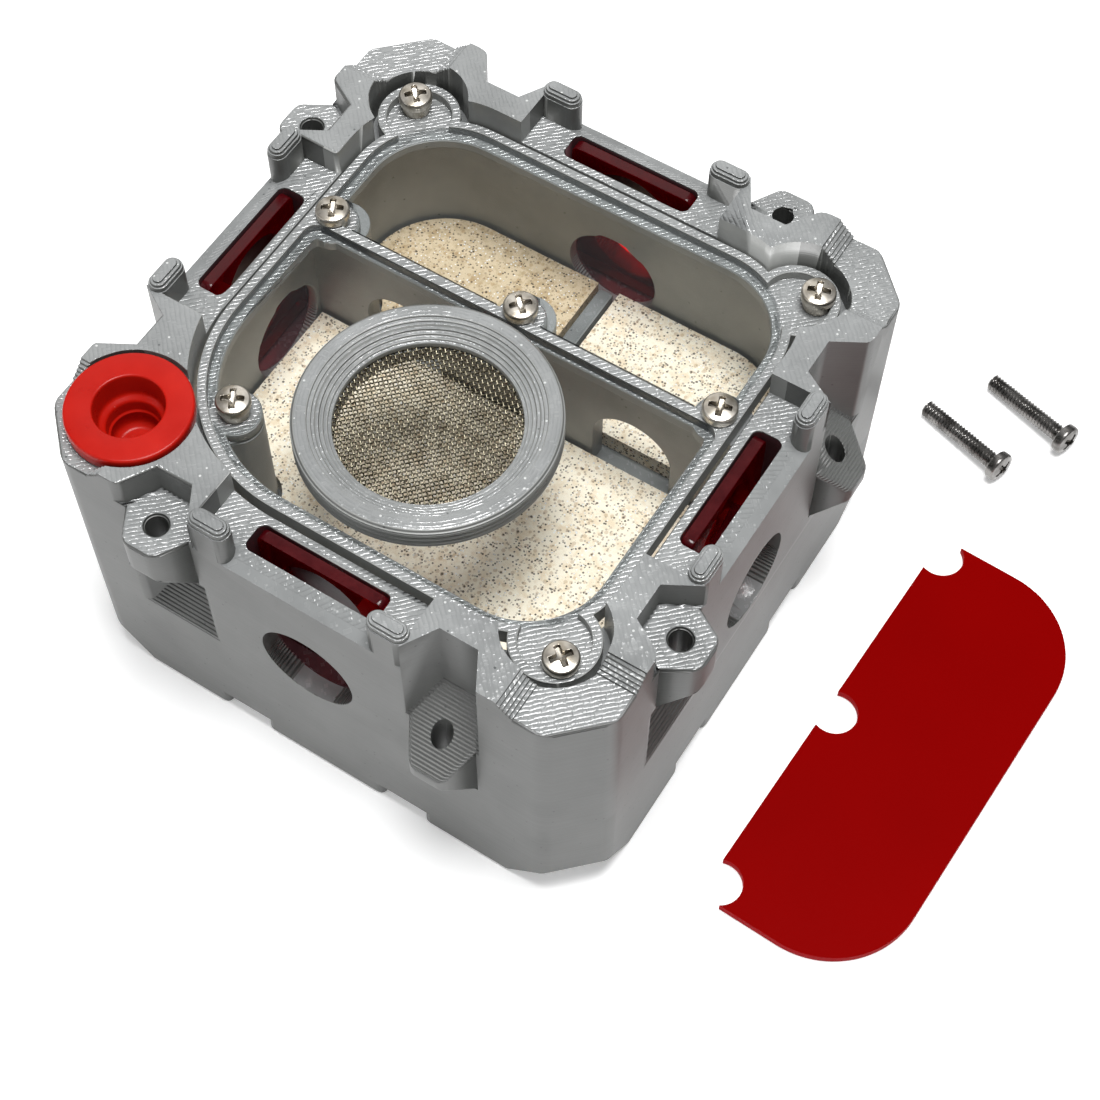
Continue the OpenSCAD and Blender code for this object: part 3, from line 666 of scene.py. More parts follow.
@dataclass(frozen=True)
class PrintedPlastic(Finish):
    """Printed PLA in grey: smooth dull walls, glossy laid lines on top skins, steps on slopes.

    The top skins shine, so each laid line catches broken streaks of light between dark grooves,
    and tiny dark specks and pale specks of painted glint sit in them. The walls show almost nothing
    but their edges, with painted shade outside and painted warm light inside.
    """

    name: str = "printed_pla_grey"
    hatch: Hatch = Hatch.DIAGONAL
    centre: tuple[float, float] = (0.0, 0.0)
    level: float = 35.3
    """Height in mm above which the top skin is flatter and its lines turn."""
    skin_level: float = 32.5
    """Height in mm below which level faces show no laid lines."""
    base: str = "#858787"
    shade: str = "#797B7B"
    light: str = "#8F9191"
    dark_speck: str = "#3A3D3E"
    # Painted glint: pale specks on level faces stand in for tiny highlights on bumps.
    painted_glint_speck: str = "#D8DAD8"
    painted_wall_shade: str = "#9E9E9A"
    # Painted shade on the outer walls, for the shade that their fine layer grooves cast on each other.
    """Tint of the outer walls, whose fine layer grooves shade each other."""
    painted_inner_light: str = "#FFFEFA"
    # Painted warm light on the walls inside, for the light that they catch from the sand.
    """Tint of the walls inside, which catch warm light from the sand."""
    painted_slot_shade: str = "#955F66"
    # Painted red shade on the gate slots' walls, which stand in the shade of the red sheets.
    """Tint of the gate slots' walls, which stand in the red shade of the sheets."""
    outer: float = 25.6
    """Distance in mm from the middle planes beyond which a wall is an outer one."""
    cut_corner: float = 49.0
    """Sum of both distances in mm beyond which a wall belongs to a cut corner."""
    slot: tuple[float, float, float, float] = (26.4, 1.7, 7.3, 32.8)
    """A gate slot's middle, half width, half length and top in mm."""
    layer: float = 0.28
    """Layer height in mm, a little coarser than the real 0.2 so that slopes show their steps."""
    line: float = 0.42
    """Width of a laid line in mm."""
    ring_r: float = 11.0
    """Radius in mm at which the way along a ring is measured."""
    relief: float = 1.0
    """Strength of the laid lines on the lower top skins."""
    upper_relief: float = 0.5
    """Strength of the laid lines above the level."""
    shine: float = 0.8
    """Specular level; melted and drawn-out plastic shines more than a moulded one."""

    def shader(self, tree: bpy.types.NodeTree, place: Socket) -> Socket:
        """Mixes the laid top skins with the layered walls.

        Args:
            tree: Node tree of the material.
            place: Object coordinates.

        Returns:
            The plastic's shader.
        """
        x, y, z = put(tree, "SeparateXYZ", place).node.outputs
        steep = self.slopes(tree)[2]
        flat = put(tree, "Math", steep, 0.9, operation="GREATER_THAN")
        upper = put(tree, "Math", z, self.level * MM, operation="GREATER_THAN")
        spot = Spot(place, x, y, z, steep, flat, upper)
        top, streak = self.skin(tree, spot)
        height = put(tree, "Mix", {0: flat, 2: self.wall(tree, spot), 3: top}, data_type="FLOAT")
        gloss = put(tree, "Math", streak, -0.20, 0.30, operation="MULTIPLY_ADD")
        return put(
            tree,
            "BsdfPrincipled",
            {
                "Base Color": self.colour(tree, spot),
                "Roughness": put(tree, "Mix", {0: flat, 2: 0.42, 3: gloss}, data_type="FLOAT"),
                "Normal": put(tree, "Bump", {"Strength": 1.0, "Distance": 0.1 * MM, "Height": height}),
                "IOR": 1.46,
                "Specular IOR Level": self.shine,
            },
        )

    def skin(self, tree: bpy.types.NodeTree, spot: Spot) -> tuple[Socket, Socket]:
        """Draws a top skin: rounded lines with sharp grooves, broken into smeared stretches.

        A line's height is 1 - |2 f - 1|^2.2 for the share f across it, times a noise along it that
        starts anew on each line; small lumps lie over it all. Deep skins are almost smooth.

        Args:
            tree: Node tree of the material.
            spot: Sockets of the place.

        Returns:
            The height and the share of smeared, glossy plastic.
        """
        along, across = self.lines(tree, spot)
        drift = put(tree, "TexNoise", {"Vector": spot.place, "Scale": 420.0, "Detail": 2.0})
        drift = put(tree, "Math", drift, 0.5, operation="SUBTRACT")
        bent = put(tree, "Math", drift, 0.9, across, operation="MULTIPLY_ADD")
        number = put(tree, "Math", bent, operation="FLOOR")
        luck = put(tree, "TexWhiteNoise", {"W": number}, noise_dimensions="1D")
        share = put(tree, "Math", bent, operation="FRACT")
        share = put(tree, "Math", share, 2.0, -1.0, operation="MULTIPLY_ADD")
        share = put(tree, "Math", put(tree, "Math", share, operation="ABSOLUTE"), 2.2, operation="POWER")
        ridge = put(tree, "Math", 1.0, share, operation="SUBTRACT")
        start = put(tree, "Math", luck, 57.0, operation="MULTIPLY")
        stretch = put(tree, "Math", along, 0.30, start, operation="MULTIPLY_ADD")
        cell = put(tree, "CombineXYZ", stretch, number)
        smear = put(tree, "TexNoise", {"Vector": cell, "Scale": 1.0, "Detail": 3.0, "Roughness": 0.6})
        streak = put(tree, "MapRange", smear, 0.40, 0.56, interpolation_type="SMOOTHSTEP")
        lumps = put(
            tree, "TexNoise", {"Vector": spot.place, "Scale": 1700.0, "Detail": 3.0, "Roughness": 0.6}
        )
        strength = put(
            tree, "Mix", {0: spot.upper, 2: self.relief, 3: self.upper_relief}, data_type="FLOAT"
        )
        laid = put(tree, "Math", spot.z, self.skin_level * MM, operation="GREATER_THAN")
        strength = put(tree, "Math", strength, laid, operation="MULTIPLY")
        wave = put(tree, "Math", streak, 0.50, 0.16, operation="MULTIPLY_ADD")
        wave = put(tree, "Math", ridge, wave, operation="MULTIPLY")
        wave = put(tree, "Math", wave, strength, operation="MULTIPLY")
        lump_size = put(tree, "Math", spot.upper, 0.35, 0.14, operation="MULTIPLY_ADD")
        return put(tree, "Math", lumps, lump_size, wave, operation="MULTIPLY_ADD"), streak

    def wall(self, tree: bpy.types.NodeTree, spot: Spot) -> Socket:
        """Draws a wall: layer waves that are faint where it is upright and deep where it slopes.

        Args:
            tree: Node tree of the material.
            spot: Sockets of the place.

        Returns:
            The height.
        """
        phase = put(tree, "Math", spot.z, 2 * math.pi / (self.layer * MM), operation="MULTIPLY")
        wave = put(tree, "Math", phase, operation="SINE")
        squashed = put(tree, "Mapping", {"Vector": spot.place, "Scale": (60.0, 60.0, 2600.0)})
        ripple = put(tree, "TexNoise", {"Vector": squashed, "Scale": 1.0, "Detail": 2.0})
        slope = put(tree, "Math", spot.steep, 0.25, operation="GREATER_THAN")
        depth = put(tree, "Math", slope, 0.55, 0.01, operation="MULTIPLY_ADD")
        ripple = put(tree, "Math", ripple, 0.12, operation="MULTIPLY")
        return put(tree, "Math", wave, depth, ripple, operation="MULTIPLY_ADD")

    def colour(self, tree: bpy.types.NodeTree, spot: Spot) -> Socket:
        """Colours the plastic: soft clouds, rare dark specks, and pale specks of painted glint on level
        faces, most in the upper skins.

        Args:
            tree: Node tree of the material.
            spot: Sockets of the place.

        Returns:
            The colour.
        """
        cloud = put(tree, "TexNoise", {"Vector": spot.place, "Scale": 160.0, "Detail": 4.0})
        tones = ((0.3, self.shade), (0.5, self.base), (0.72, self.light))
        colour = put(tree, "ValToRGB", cloud, stops=tones)
        cells = put(tree, "TexVoronoi", {"Vector": spot.place, "Scale": 2100.0}).node.outputs
        pick = put(tree, "SeparateColor", cells["Color"]).node.outputs
        grain = put(tree, "Math", cells["Distance"], 0.24, operation="LESS_THAN")
        # Share of the painted glint specks: level faces only, more above the level.
        visible = put(tree, "Math", spot.upper, 0.5, 0.2, operation="MULTIPLY_ADD")
        visible = put(tree, "Math", visible, spot.flat, operation="MULTIPLY")
        for channel, rare, share, speck in (
            (1, 0.9, visible, self.painted_glint_speck),
            (0, 0.975, 0.7, self.dark_speck),
        ):
            chosen = put(tree, "Math", pick[channel], rare, operation="GREATER_THAN")
            chosen = put(tree, "Math", grain, chosen, operation="MULTIPLY")
            chosen = put(tree, "Math", chosen, share, operation="MULTIPLY")
            colour = put(tree, "Mix", {0: chosen, 6: colour, 7: speck}, out=2, data_type="RGBA")
        # Multiplies in the painted shade and light of the walls.
        tinted = {0: 1.0, 6: colour, 7: self.tint(tree, spot)}
        return put(tree, "Mix", tinted, out=2, data_type="RGBA", blend_type="MULTIPLY")

    def tint(self, tree: bpy.types.NodeTree, spot: Spot) -> Socket:
        """Paints light and shade on the walls: painted shade outside, painted warm light inside, painted red
        shade in the gate slots.

        Args:
            tree: Node tree of the material.
            spot: Sockets of the place.

        Returns:
            The colour that the plastic is multiplied by.
        """
        x, y = (put(tree, "Math", part, operation="ABSOLUTE") for part in (spot.x, spot.y))
        far, near = (put(tree, "Math", x, y, operation=kind) for kind in ("MAXIMUM", "MINIMUM"))
        beyond = put(tree, "Math", far, self.outer * MM, operation="GREATER_THAN")
        corner = put(tree, "Math", x, y, operation="ADD")
        corner = put(tree, "Math", corner, self.cut_corner * MM, operation="GREATER_THAN")
        outside = put(tree, "Math", beyond, corner, operation="MAXIMUM")
        middle, half_width, half_length, top = (size * MM for size in self.slot)
        slot = put(tree, "Math", far, middle, half_width, operation="COMPARE")
        for part, limit in ((spot.z, top), (near, half_length)):
            inside = put(tree, "Math", part, limit, operation="LESS_THAN")
            slot = put(tree, "Math", slot, inside, operation="MULTIPLY")
        # Painted shade on the outer walls, painted warm light on the inner ones.
        tint = put(
            tree, "Mix", {0: outside, 6: self.painted_inner_light, 7: self.painted_wall_shade}, out=2, data_type="RGBA"
        )
        # Level faces keep their colour; the gate slots get painted red shade.
        for share, tone in ((spot.flat, "#FFFFFF"), (slot, self.painted_slot_shade)):
            tint = put(tree, "Mix", {0: share, 6: tint, 7: tone}, out=2, data_type="RGBA")
        return tint

    def lines(self, tree: bpy.types.NodeTree, spot: Spot) -> tuple[Socket, Socket]:
        """Counts laid lines on a top skin.

        Args:
            tree: Node tree of the material.
            spot: Sockets of the place.

        Returns:
            Sockets for the place along the lines and across them, both in line widths.
        """
        width = self.line * MM
        if self.hatch is Hatch.RINGS:
            dx = put(tree, "Math", spot.x, self.centre[0] * MM, operation="SUBTRACT")
            dy = put(tree, "Math", spot.y, self.centre[1] * MM, operation="SUBTRACT")
            square = put(tree, "Math", dy, dy, operation="MULTIPLY")
            square = put(tree, "Math", dx, dx, square, operation="MULTIPLY_ADD")
            radius = put(tree, "Math", square, operation="SQRT")
            angle = put(tree, "Math", dy, dx, operation="ARCTAN2")
            along = put(tree, "Math", angle, self.ring_r / self.line, operation="MULTIPLY")
            return along, put(tree, "Math", radius, width, operation="DIVIDE")
        sums = [put(tree, "Math", spot.x, spot.y, operation="ADD")]
        sums.append(put(tree, "Math", spot.y, spot.x, operation="SUBTRACT"))
        scale = math.sqrt(0.5) / width
        rising, falling = (put(tree, "Math", part, scale, operation="MULTIPLY") for part in sums)
        along = put(tree, "Mix", {0: spot.upper, 2: rising, 3: falling}, data_type="FLOAT")
        return along, put(tree, "Mix", {0: spot.upper, 2: falling, 3: rising}, data_type="FLOAT")


@dataclass(frozen=True)
class ClearSheet(Finish):
    """Cast acrylic sheet, laser cut: perfectly clear faces with a weak gloss, and a cut edge painted dark as
    shade, most beside the lid's cross strip.
    """

    name: str = "clear_cast_acrylic"
    film: float = 0.012
    """Share of light that the faces hold back besides their gloss."""
    # Colour of the painted shade on the cut edges.
    edge: str = "#33373A"
    strip: tuple[float, float] = (6.5, 5.5)
    # Middle and half width of the lid's cross strip in mm; the edges beside it get the strongest painted
    # shade.
    """Middle and half width of the lid's cross strip in mm; the edges beside it are the dark ones."""

    def shader(self, tree: bpy.types.NodeTree, place: Socket) -> Socket:
        """Mixes a transparent share, a glossy film and a cut edge painted dark as shade.

        Args:
            tree: Node tree of the material.
            place: Object coordinates.

        Returns:
            The clear sheet's shader.
        """
        _, front, steep = self.slopes(tree)
        rim = put(tree, "Math", steep, 0.6, operation="LESS_THAN")
        clear = put(tree, "BsdfTransparent", "#FCFDFD")
        film = put(tree, "BsdfPrincipled", {"Base Color": "#808486", "Roughness": 0.04, "IOR": 1.49})
        cut = put(tree, "BsdfPrincipled", {"Base Color": self.edge, "Roughness": 0.3, "IOR": 1.49})
        fresnel = put(tree, "LayerWeight", {"Blend": 0.25}, out="Fresnel")
        share = put(tree, "Math", fresnel, 0.35, self.film, operation="MULTIPLY_ADD")
        y = put(tree, "SeparateXYZ", place, out=1)
        middle, half = (size * MM for size in self.strip)
        # Painted shade: cut edges beside the cross strip go dark, the other cut edges only a little.
        straight = put(tree, "Math", front, 0.95, operation="GREATER_THAN")
        inner = put(tree, "Math", y, middle, half, operation="COMPARE")
        dark = put(tree, "Math", straight, inner, operation="MULTIPLY")
        dark = put(tree, "Math", dark, 0.72, 0.10, operation="MULTIPLY_ADD")
        return put(
            tree,
            "MixShader",
            put(tree, "Math", rim, dark, operation="MULTIPLY"),
            put(tree, "MixShader", share, clear, film),
            cut,
        )


@dataclass(frozen=True)
class TintedSheet(Finish):
    """Transparent red cast acrylic: nearly black where thick, bright red where light comes through."""

    name: str = "red_cast_acrylic"
    through: float = 0.78
    """Share of light that passes each wide face."""
    through_edge: float = 0.12
    """Share of light that passes a cut edge, behind which the sheet is deep."""

    def shader(self, tree: bpy.types.NodeTree, place: Socket) -> Socket:
        """Mixes the tinted light that passes with a gloss that has faint scuffs.

        Args:
            tree: Node tree of the material.
            place: Object coordinates.

        Returns:
            The tinted sheet's shader.
        """
        scuff = put(tree, "TexNoise", {"Vector": place, "Scale": 420.0, "Detail": 5.0, "Roughness": 0.7})
        edge = put(tree, "Math", self.slopes(tree)[2], 0.5, operation="GREATER_THAN")
        face, cut = (
            put(tree, "ValToRGB", scuff, stops=((0.3, dark), (0.7, pale)))
            for dark, pale in (("#8C0008", "#A80010"), ("#340308", "#4C060C"))
        )
        solid = put(
            tree,
            "BsdfPrincipled",
            {
                "Base Color": put(tree, "Mix", {0: edge, 6: face, 7: cut}, out=2, data_type="RGBA"),
                "Roughness": put(tree, "Math", scuff, 0.25, 0.08, operation="MULTIPLY_ADD"),
                "Specular IOR Level": 0.3,
                "IOR": 1.49,
            },
        )
        drop = self.through - self.through_edge
        hold = put(tree, "Math", edge, drop, 1 - self.through, operation="MULTIPLY_ADD")
        return put(tree, "MixShader", hold, put(tree, "BsdfTransparent", "#F8484E"), solid)


@dataclass(frozen=True)
class CoverSheet(Finish):
    """Red acrylic sheet for darkness: smooth satin face, cut edge painted a little lighter as a highlight."""

    name: str = "opaque_red_acrylic"

    def shader(self, tree: bpy.types.NodeTree, place: Socket) -> Socket:
        """Draws the satin face with a very fine ripple in its sheen.

        Args:
            tree: Node tree of the material.
            place: Object coordinates.

        Returns:
            The cover's shader.
        """
        # The cut edge is painted lighter, as a highlight along it.
        rim = put(tree, "Math", self.slopes(tree)[2], 0.8, operation="LESS_THAN")
        cloud = put(tree, "TexNoise", {"Vector": place, "Scale": 45.0, "Detail": 2.0})
        face = put(tree, "ValToRGB", cloud, stops=((0.3, "#7A0000"), (0.7, "#800000")))
        grain = put(tree, "TexNoise", {"Vector": place, "Scale": 2200.0, "Detail": 3.0})
        return put(
            tree,
            "BsdfPrincipled",
            {
                "Base Color": put(tree, "Mix", {0: rim, 6: face, 7: "#9C1A1E"}, out=2, data_type="RGBA"),
                "Roughness": put(tree, "Math", grain, 0.2, 0.35, operation="MULTIPLY_ADD"),
                "Normal": put(tree, "Bump", {"Strength": 0.2, "Distance": 0.01 * MM, "Height": grain}),
                "Specular IOR Level": 0.01,
            },
        )


@dataclass(frozen=True)
class Silicone(Finish):
    """Moulded silicone rubber in red: soft satin skin, light spreads a little inside."""

    name: str = "moulded_red_silicone"

    def shader(self, tree: bpy.types.NodeTree, place: Socket) -> Socket:
        """Draws the skin with mould texture and dust.

        Args:
            tree: Node tree of the material.
            place: Object coordinates.

        Returns:
            The silicone's shader.
        """
        fine = put(tree, "TexNoise", {"Vector": place, "Scale": 1800.0, "Detail": 4.0, "Roughness": 0.65})
        cloud = put(tree, "TexNoise", {"Vector": place, "Scale": 260.0, "Detail": 3.0})
        dust = put(tree, "TexVoronoi", {"Vector": place, "Scale": 1300.0}).node.outputs
        fleck = put(tree, "SeparateColor", dust["Color"])
        fleck = put(tree, "Math", fleck, 0.97, operation="GREATER_THAN")
        small = put(tree, "Math", dust["Distance"], 0.2, operation="LESS_THAN")
        fleck = put(tree, "Math", small, fleck, operation="MULTIPLY")
        fleck = put(tree, "Math", fleck, 0.5, operation="MULTIPLY")
        ground = put(
            tree, "ValToRGB", cloud, stops=((0.3, "#A21208"), (0.55, "#AA150A"), (0.8, "#B2190C"))
        )
        return put(
            tree,
            "BsdfPrincipled",
            {
                "Base Color": put(tree, "Mix", {0: fleck, 6: ground, 7: "#F0C0B8"}, out=2, data_type="RGBA"),
                "Roughness": put(tree, "Math", cloud, 0.2, 0.2, operation="MULTIPLY_ADD"),
                "Normal": put(tree, "Bump", {"Strength": 0.35, "Distance": 0.03 * MM, "Height": fine}),
                "Specular IOR Level": 0.2,
                "Subsurface Weight": 0.12,
                "Subsurface Radius": (1.2 * MM, 0.1 * MM, 0.05 * MM),
                "Subsurface Scale": 1.0,
            },
        )


@dataclass(frozen=True)
class PlatedSteel(Finish):
    """Nickel-plated steel: bright, slightly warm, with tumbling marks in its gloss."""

    name: str = "nickel_plated_steel"
    base: str = "#D8D2C8"
    rough: float = 0.22
    stain: str = "#A8A092"
    painted_hollow_shade: str = "#2E2820"
    # Painted shade in narrow hollows, where little light reaches.
    """Colour in narrow hollows."""

    def shader(self, tree: bpy.types.NodeTree, place: Socket) -> Socket:
        """Draws the plating with small dents, dull spots and painted shade in its hollows.

        Args:
            tree: Node tree of the material.
            place: Object coordinates.

        Returns:
            The metal's shader.
        """
        marks = put(tree, "TexNoise", {"Vector": place, "Scale": 2400.0, "Detail": 4.0})
        cloud = put(tree, "TexNoise", {"Vector": place, "Scale": 700.0, "Detail": 2.0})
        plate = put(tree, "ValToRGB", cloud, stops=((0.35, self.stain), (0.6, self.base)))
        # Painted shade: ambient occlusion darkens the hollows, such as a screw head's recess.
        hollow = put(
            tree, "AmbientOcclusion", {"Distance": 0.5 * MM}, out="AO", samples=4, only_local=True
        )
        unshaded = put(tree, "MapRange", hollow, 0.45, 0.85, interpolation_type="SMOOTHSTEP")
        return put(
            tree,
            "BsdfPrincipled",
            {
                "Base Color": put(
                    tree, "Mix", {0: unshaded, 6: self.painted_hollow_shade, 7: plate}, out=2, data_type="RGBA"
                ),
                "Metallic": 1.0,
                "Roughness": put(tree, "Math", marks, 0.16, self.rough, operation="MULTIPLY_ADD"),
                "Normal": put(tree, "Bump", {"Strength": 0.25, "Distance": 0.02 * MM, "Height": marks}),
            },
        )


@dataclass(frozen=True)
class SandTop(Finish):
    """Quartz sand bonded to a plaster plate: pale grains with dark and amber ones scattered in it."""

    name: str = "bonded_quartz_sand"
    pale: str = "#FFF4E0"
    warm: str = "#F0DDC0"
    grain: float = 0.26
    """Distance between grains in mm."""

    def shader(self, tree: bpy.types.NodeTree, place: Socket) -> Socket:
        """Draws cells of several grain colours over a clouded ground.

        Args:
            tree: Node tree of the material.
            place: Object coordinates.

        Returns:
            The sand's shader.
        """
        cloud = put(tree, "TexNoise", {"Vector": place, "Scale": 900.0, "Detail": 4.0, "Roughness": 0.65})
        colour = put(tree, "ValToRGB", cloud, stops=((0.36, self.warm), (0.54, self.pale)))
        fine, coarse = (
            put(tree, "TexVoronoi", {"Vector": place, "Scale": share / (self.grain * MM)}).node.outputs
            for share in (1.0, 0.5)
        )
        for cells, channel, rare, size, share, tone in (
            (coarse, 0, 0.72, 0.42, 0.40, "#B08A58"),
            (fine, 0, 0.70, 0.46, 0.55, "#86705A"),
            (fine, 1, 0.80, 0.40, 0.85, "#3A2E24"),
            (coarse, 1, 0.86, 0.26, 0.85, "#3A2C20"),
            (fine, 2, 0.90, 0.38, 0.80, "#FFFFFF"),
        ):
            pick = put(tree, "SeparateColor", cells["Color"], out=channel)
            pick = put(tree, "Math", pick, rare, operation="GREATER_THAN")
            grain = put(tree, "Math", cells["Distance"], size, operation="LESS_THAN")
            grain = put(tree, "Math", pick, grain, operation="MULTIPLY")
            grain = put(tree, "Math", grain, share, operation="MULTIPLY")
            colour = put(tree, "Mix", {0: grain, 6: colour, 7: tone}, out=2, data_type="RGBA")
        height = put(tree, "Math", 1.0, fine["Distance"], operation="SUBTRACT")
        return put(
            tree,
            "BsdfPrincipled",
            {
                "Base Color": colour,
                "Roughness": 0.85,
                "Normal": put(tree, "Bump", {"Strength": 0.5, "Distance": 0.08 * MM, "Height": height}),
                "IOR": 1.45,
            },
        )


@dataclass(frozen=True)
class WickFelt(Finish):
    """Pressed cotton felt: matt with short tangled fibres; the damp foot of the real wick is not drawn."""

    name: str = "pressed_cotton_felt"

    def shader(self, tree: bpy.types.NodeTree, place: Socket) -> Socket:
        """Draws upright fibre streaks.

        Args:
            tree: Node tree of the material.
            place: Object coordinates.

        Returns:
            The felt's shader.
        """
        stretched = put(tree, "Mapping", {"Vector": place, "Scale": (2500.0, 2500.0, 500.0)})
        fibre = put(tree, "TexNoise", {"Vector": stretched, "Scale": 1.0, "Detail": 4.0})
        return put(
            tree,
            "BsdfPrincipled",
            {
                "Base Color": put(tree, "ValToRGB", fibre, stops=((0.3, "#CFC8B6"), (0.7, "#F2EEE2"))),
                "Roughness": 0.95,
                "Normal": put(tree, "Bump", {"Strength": 0.6, "Distance": 0.08 * MM, "Height": fibre}),
            },
        )


@dataclass(frozen=True)
class StudioPaper(Finish):
    """White paper over a light table: matt, with a little light from below."""

    name: str = "studio_paper"
    glow: float = 0.30
    """Light that comes through the paper from below, as on a photographer's table."""

    def shader(self, tree: bpy.types.NodeTree, place: Socket) -> Socket:
        """Draws the plain paper, the same at every place.

        Args:
            tree: Node tree of the material.
            place: Object coordinates.

        Returns:
            The paper's shader.
        """
        return put(
            tree,
            "BsdfPrincipled",
            {
                "Base Color": "#F4F4F4",
                "Roughness": 0.75,
                "Emission Color": "#FFFFFF",
                "Emission Strength": self.glow,
            },
        )


# Sub-assemblies


@dataclass
class Housing:
    """Printed housing and lid frame with softened printed edges."""

    rounding: Rounding = Rounding(size=0.42, tall=1.0)
    lid_rounding: Rounding = Rounding(size=0.16)
    divider_rounding: Rounding = Rounding(size=0.10, segments=2)

    def build(self) -> None:
        """Makes the printed pieces and dresses them."""
        skin = PrintedPlastic().build()
        lid_skin = PrintedPlastic(name="printed_pla_lid", level=40.0, skin_level=31.0).build()
        pieces = {"tank_shell": "tank_print", "body_shell": "housing_print"}
        pieces |= {"divider_wall": "divider_print", "joining_ears": "ears_print"}
        for node, name in pieces.items():
            beside = tuple(other for other in pieces if other != node)
            rounding = self.divider_rounding if node == "divider_wall" else self.rounding
            piece = soft_copy(node, name, rounding, beside)
            finish_piece(piece, skin, "housing", "printed", node)
        lid = soft_copy("lid_frame", "lid_print", self.lid_rounding)
        finish_piece(lid, lid_skin, "housing", "printed", "lid_frame")


@dataclass
class Sheets:
    """Laser-cut sheets: two clear panels, four red gates and the loose cover."""

    cut: Rounding = Rounding(size=0.07, segments=2)
    gate_cut: Rounding = Rounding(size=0.12, segments=2)
    gate_share: float = 0.64
    """Thickness of a gate as a share of the room that its solid takes."""
    gate_lean: float = 0.4
    """How far a gate leans to one wall of its slot, in mm."""

    def build(self) -> None:
        """Makes each sheet with its melted cut edge.

        The front and right gates lean on the inner wall of their slots, the other two on the
        outer one.
        """
        clear = ClearSheet().build()
        for node in ("panel_front", "panel_back"):
            finish_piece(soft_copy(node, f"{node}_sheet", self.cut), clear, "housing", "clear_sheet", node)
        red = TintedSheet().build()
        free_side = {"front": (0, -1, 0), "right": (1, 0, 0), "back": (0, -1, 0), "left": (1, 0, 0)}
        for side, way in free_side.items():
            piece = soft_copy(f"gate_{side}", f"gate_{side}_sheet", self.gate_cut)
            self.lean(piece, np.array(way, float))
            finish_piece(piece, red, f"{side}_gate", "gate_sheet", f"gate_{side}")
        cover = soft_copy("dark_cover", "cover_sheet", self.cut)
        finish_piece(cover, CoverSheet().build(), "cover", "cover_sheet", "dark_cover")

    def lean(self, piece: bpy.types.Object, way: Array) -> None:
        """Thins a gate and leans it back: d becomes foot - lean + share (d - foot) along its free side.

        Args:
            piece: The gate.
            way: Unit direction from the wall that the gate leans on to its free side.
        """
        place = np.empty(3 * len(piece.data.vertices))
        piece.data.vertices.foreach_get("co", place)
        place = place.reshape(-1, 3)
        out = place @ way
        moved = out.min() - self.gate_lean * MM + self.gate_share * (out - out.min())
        piece.data.vertices.foreach_set("co", (place + (moved - out)[:, None] * way).ravel())
        piece.data.update()


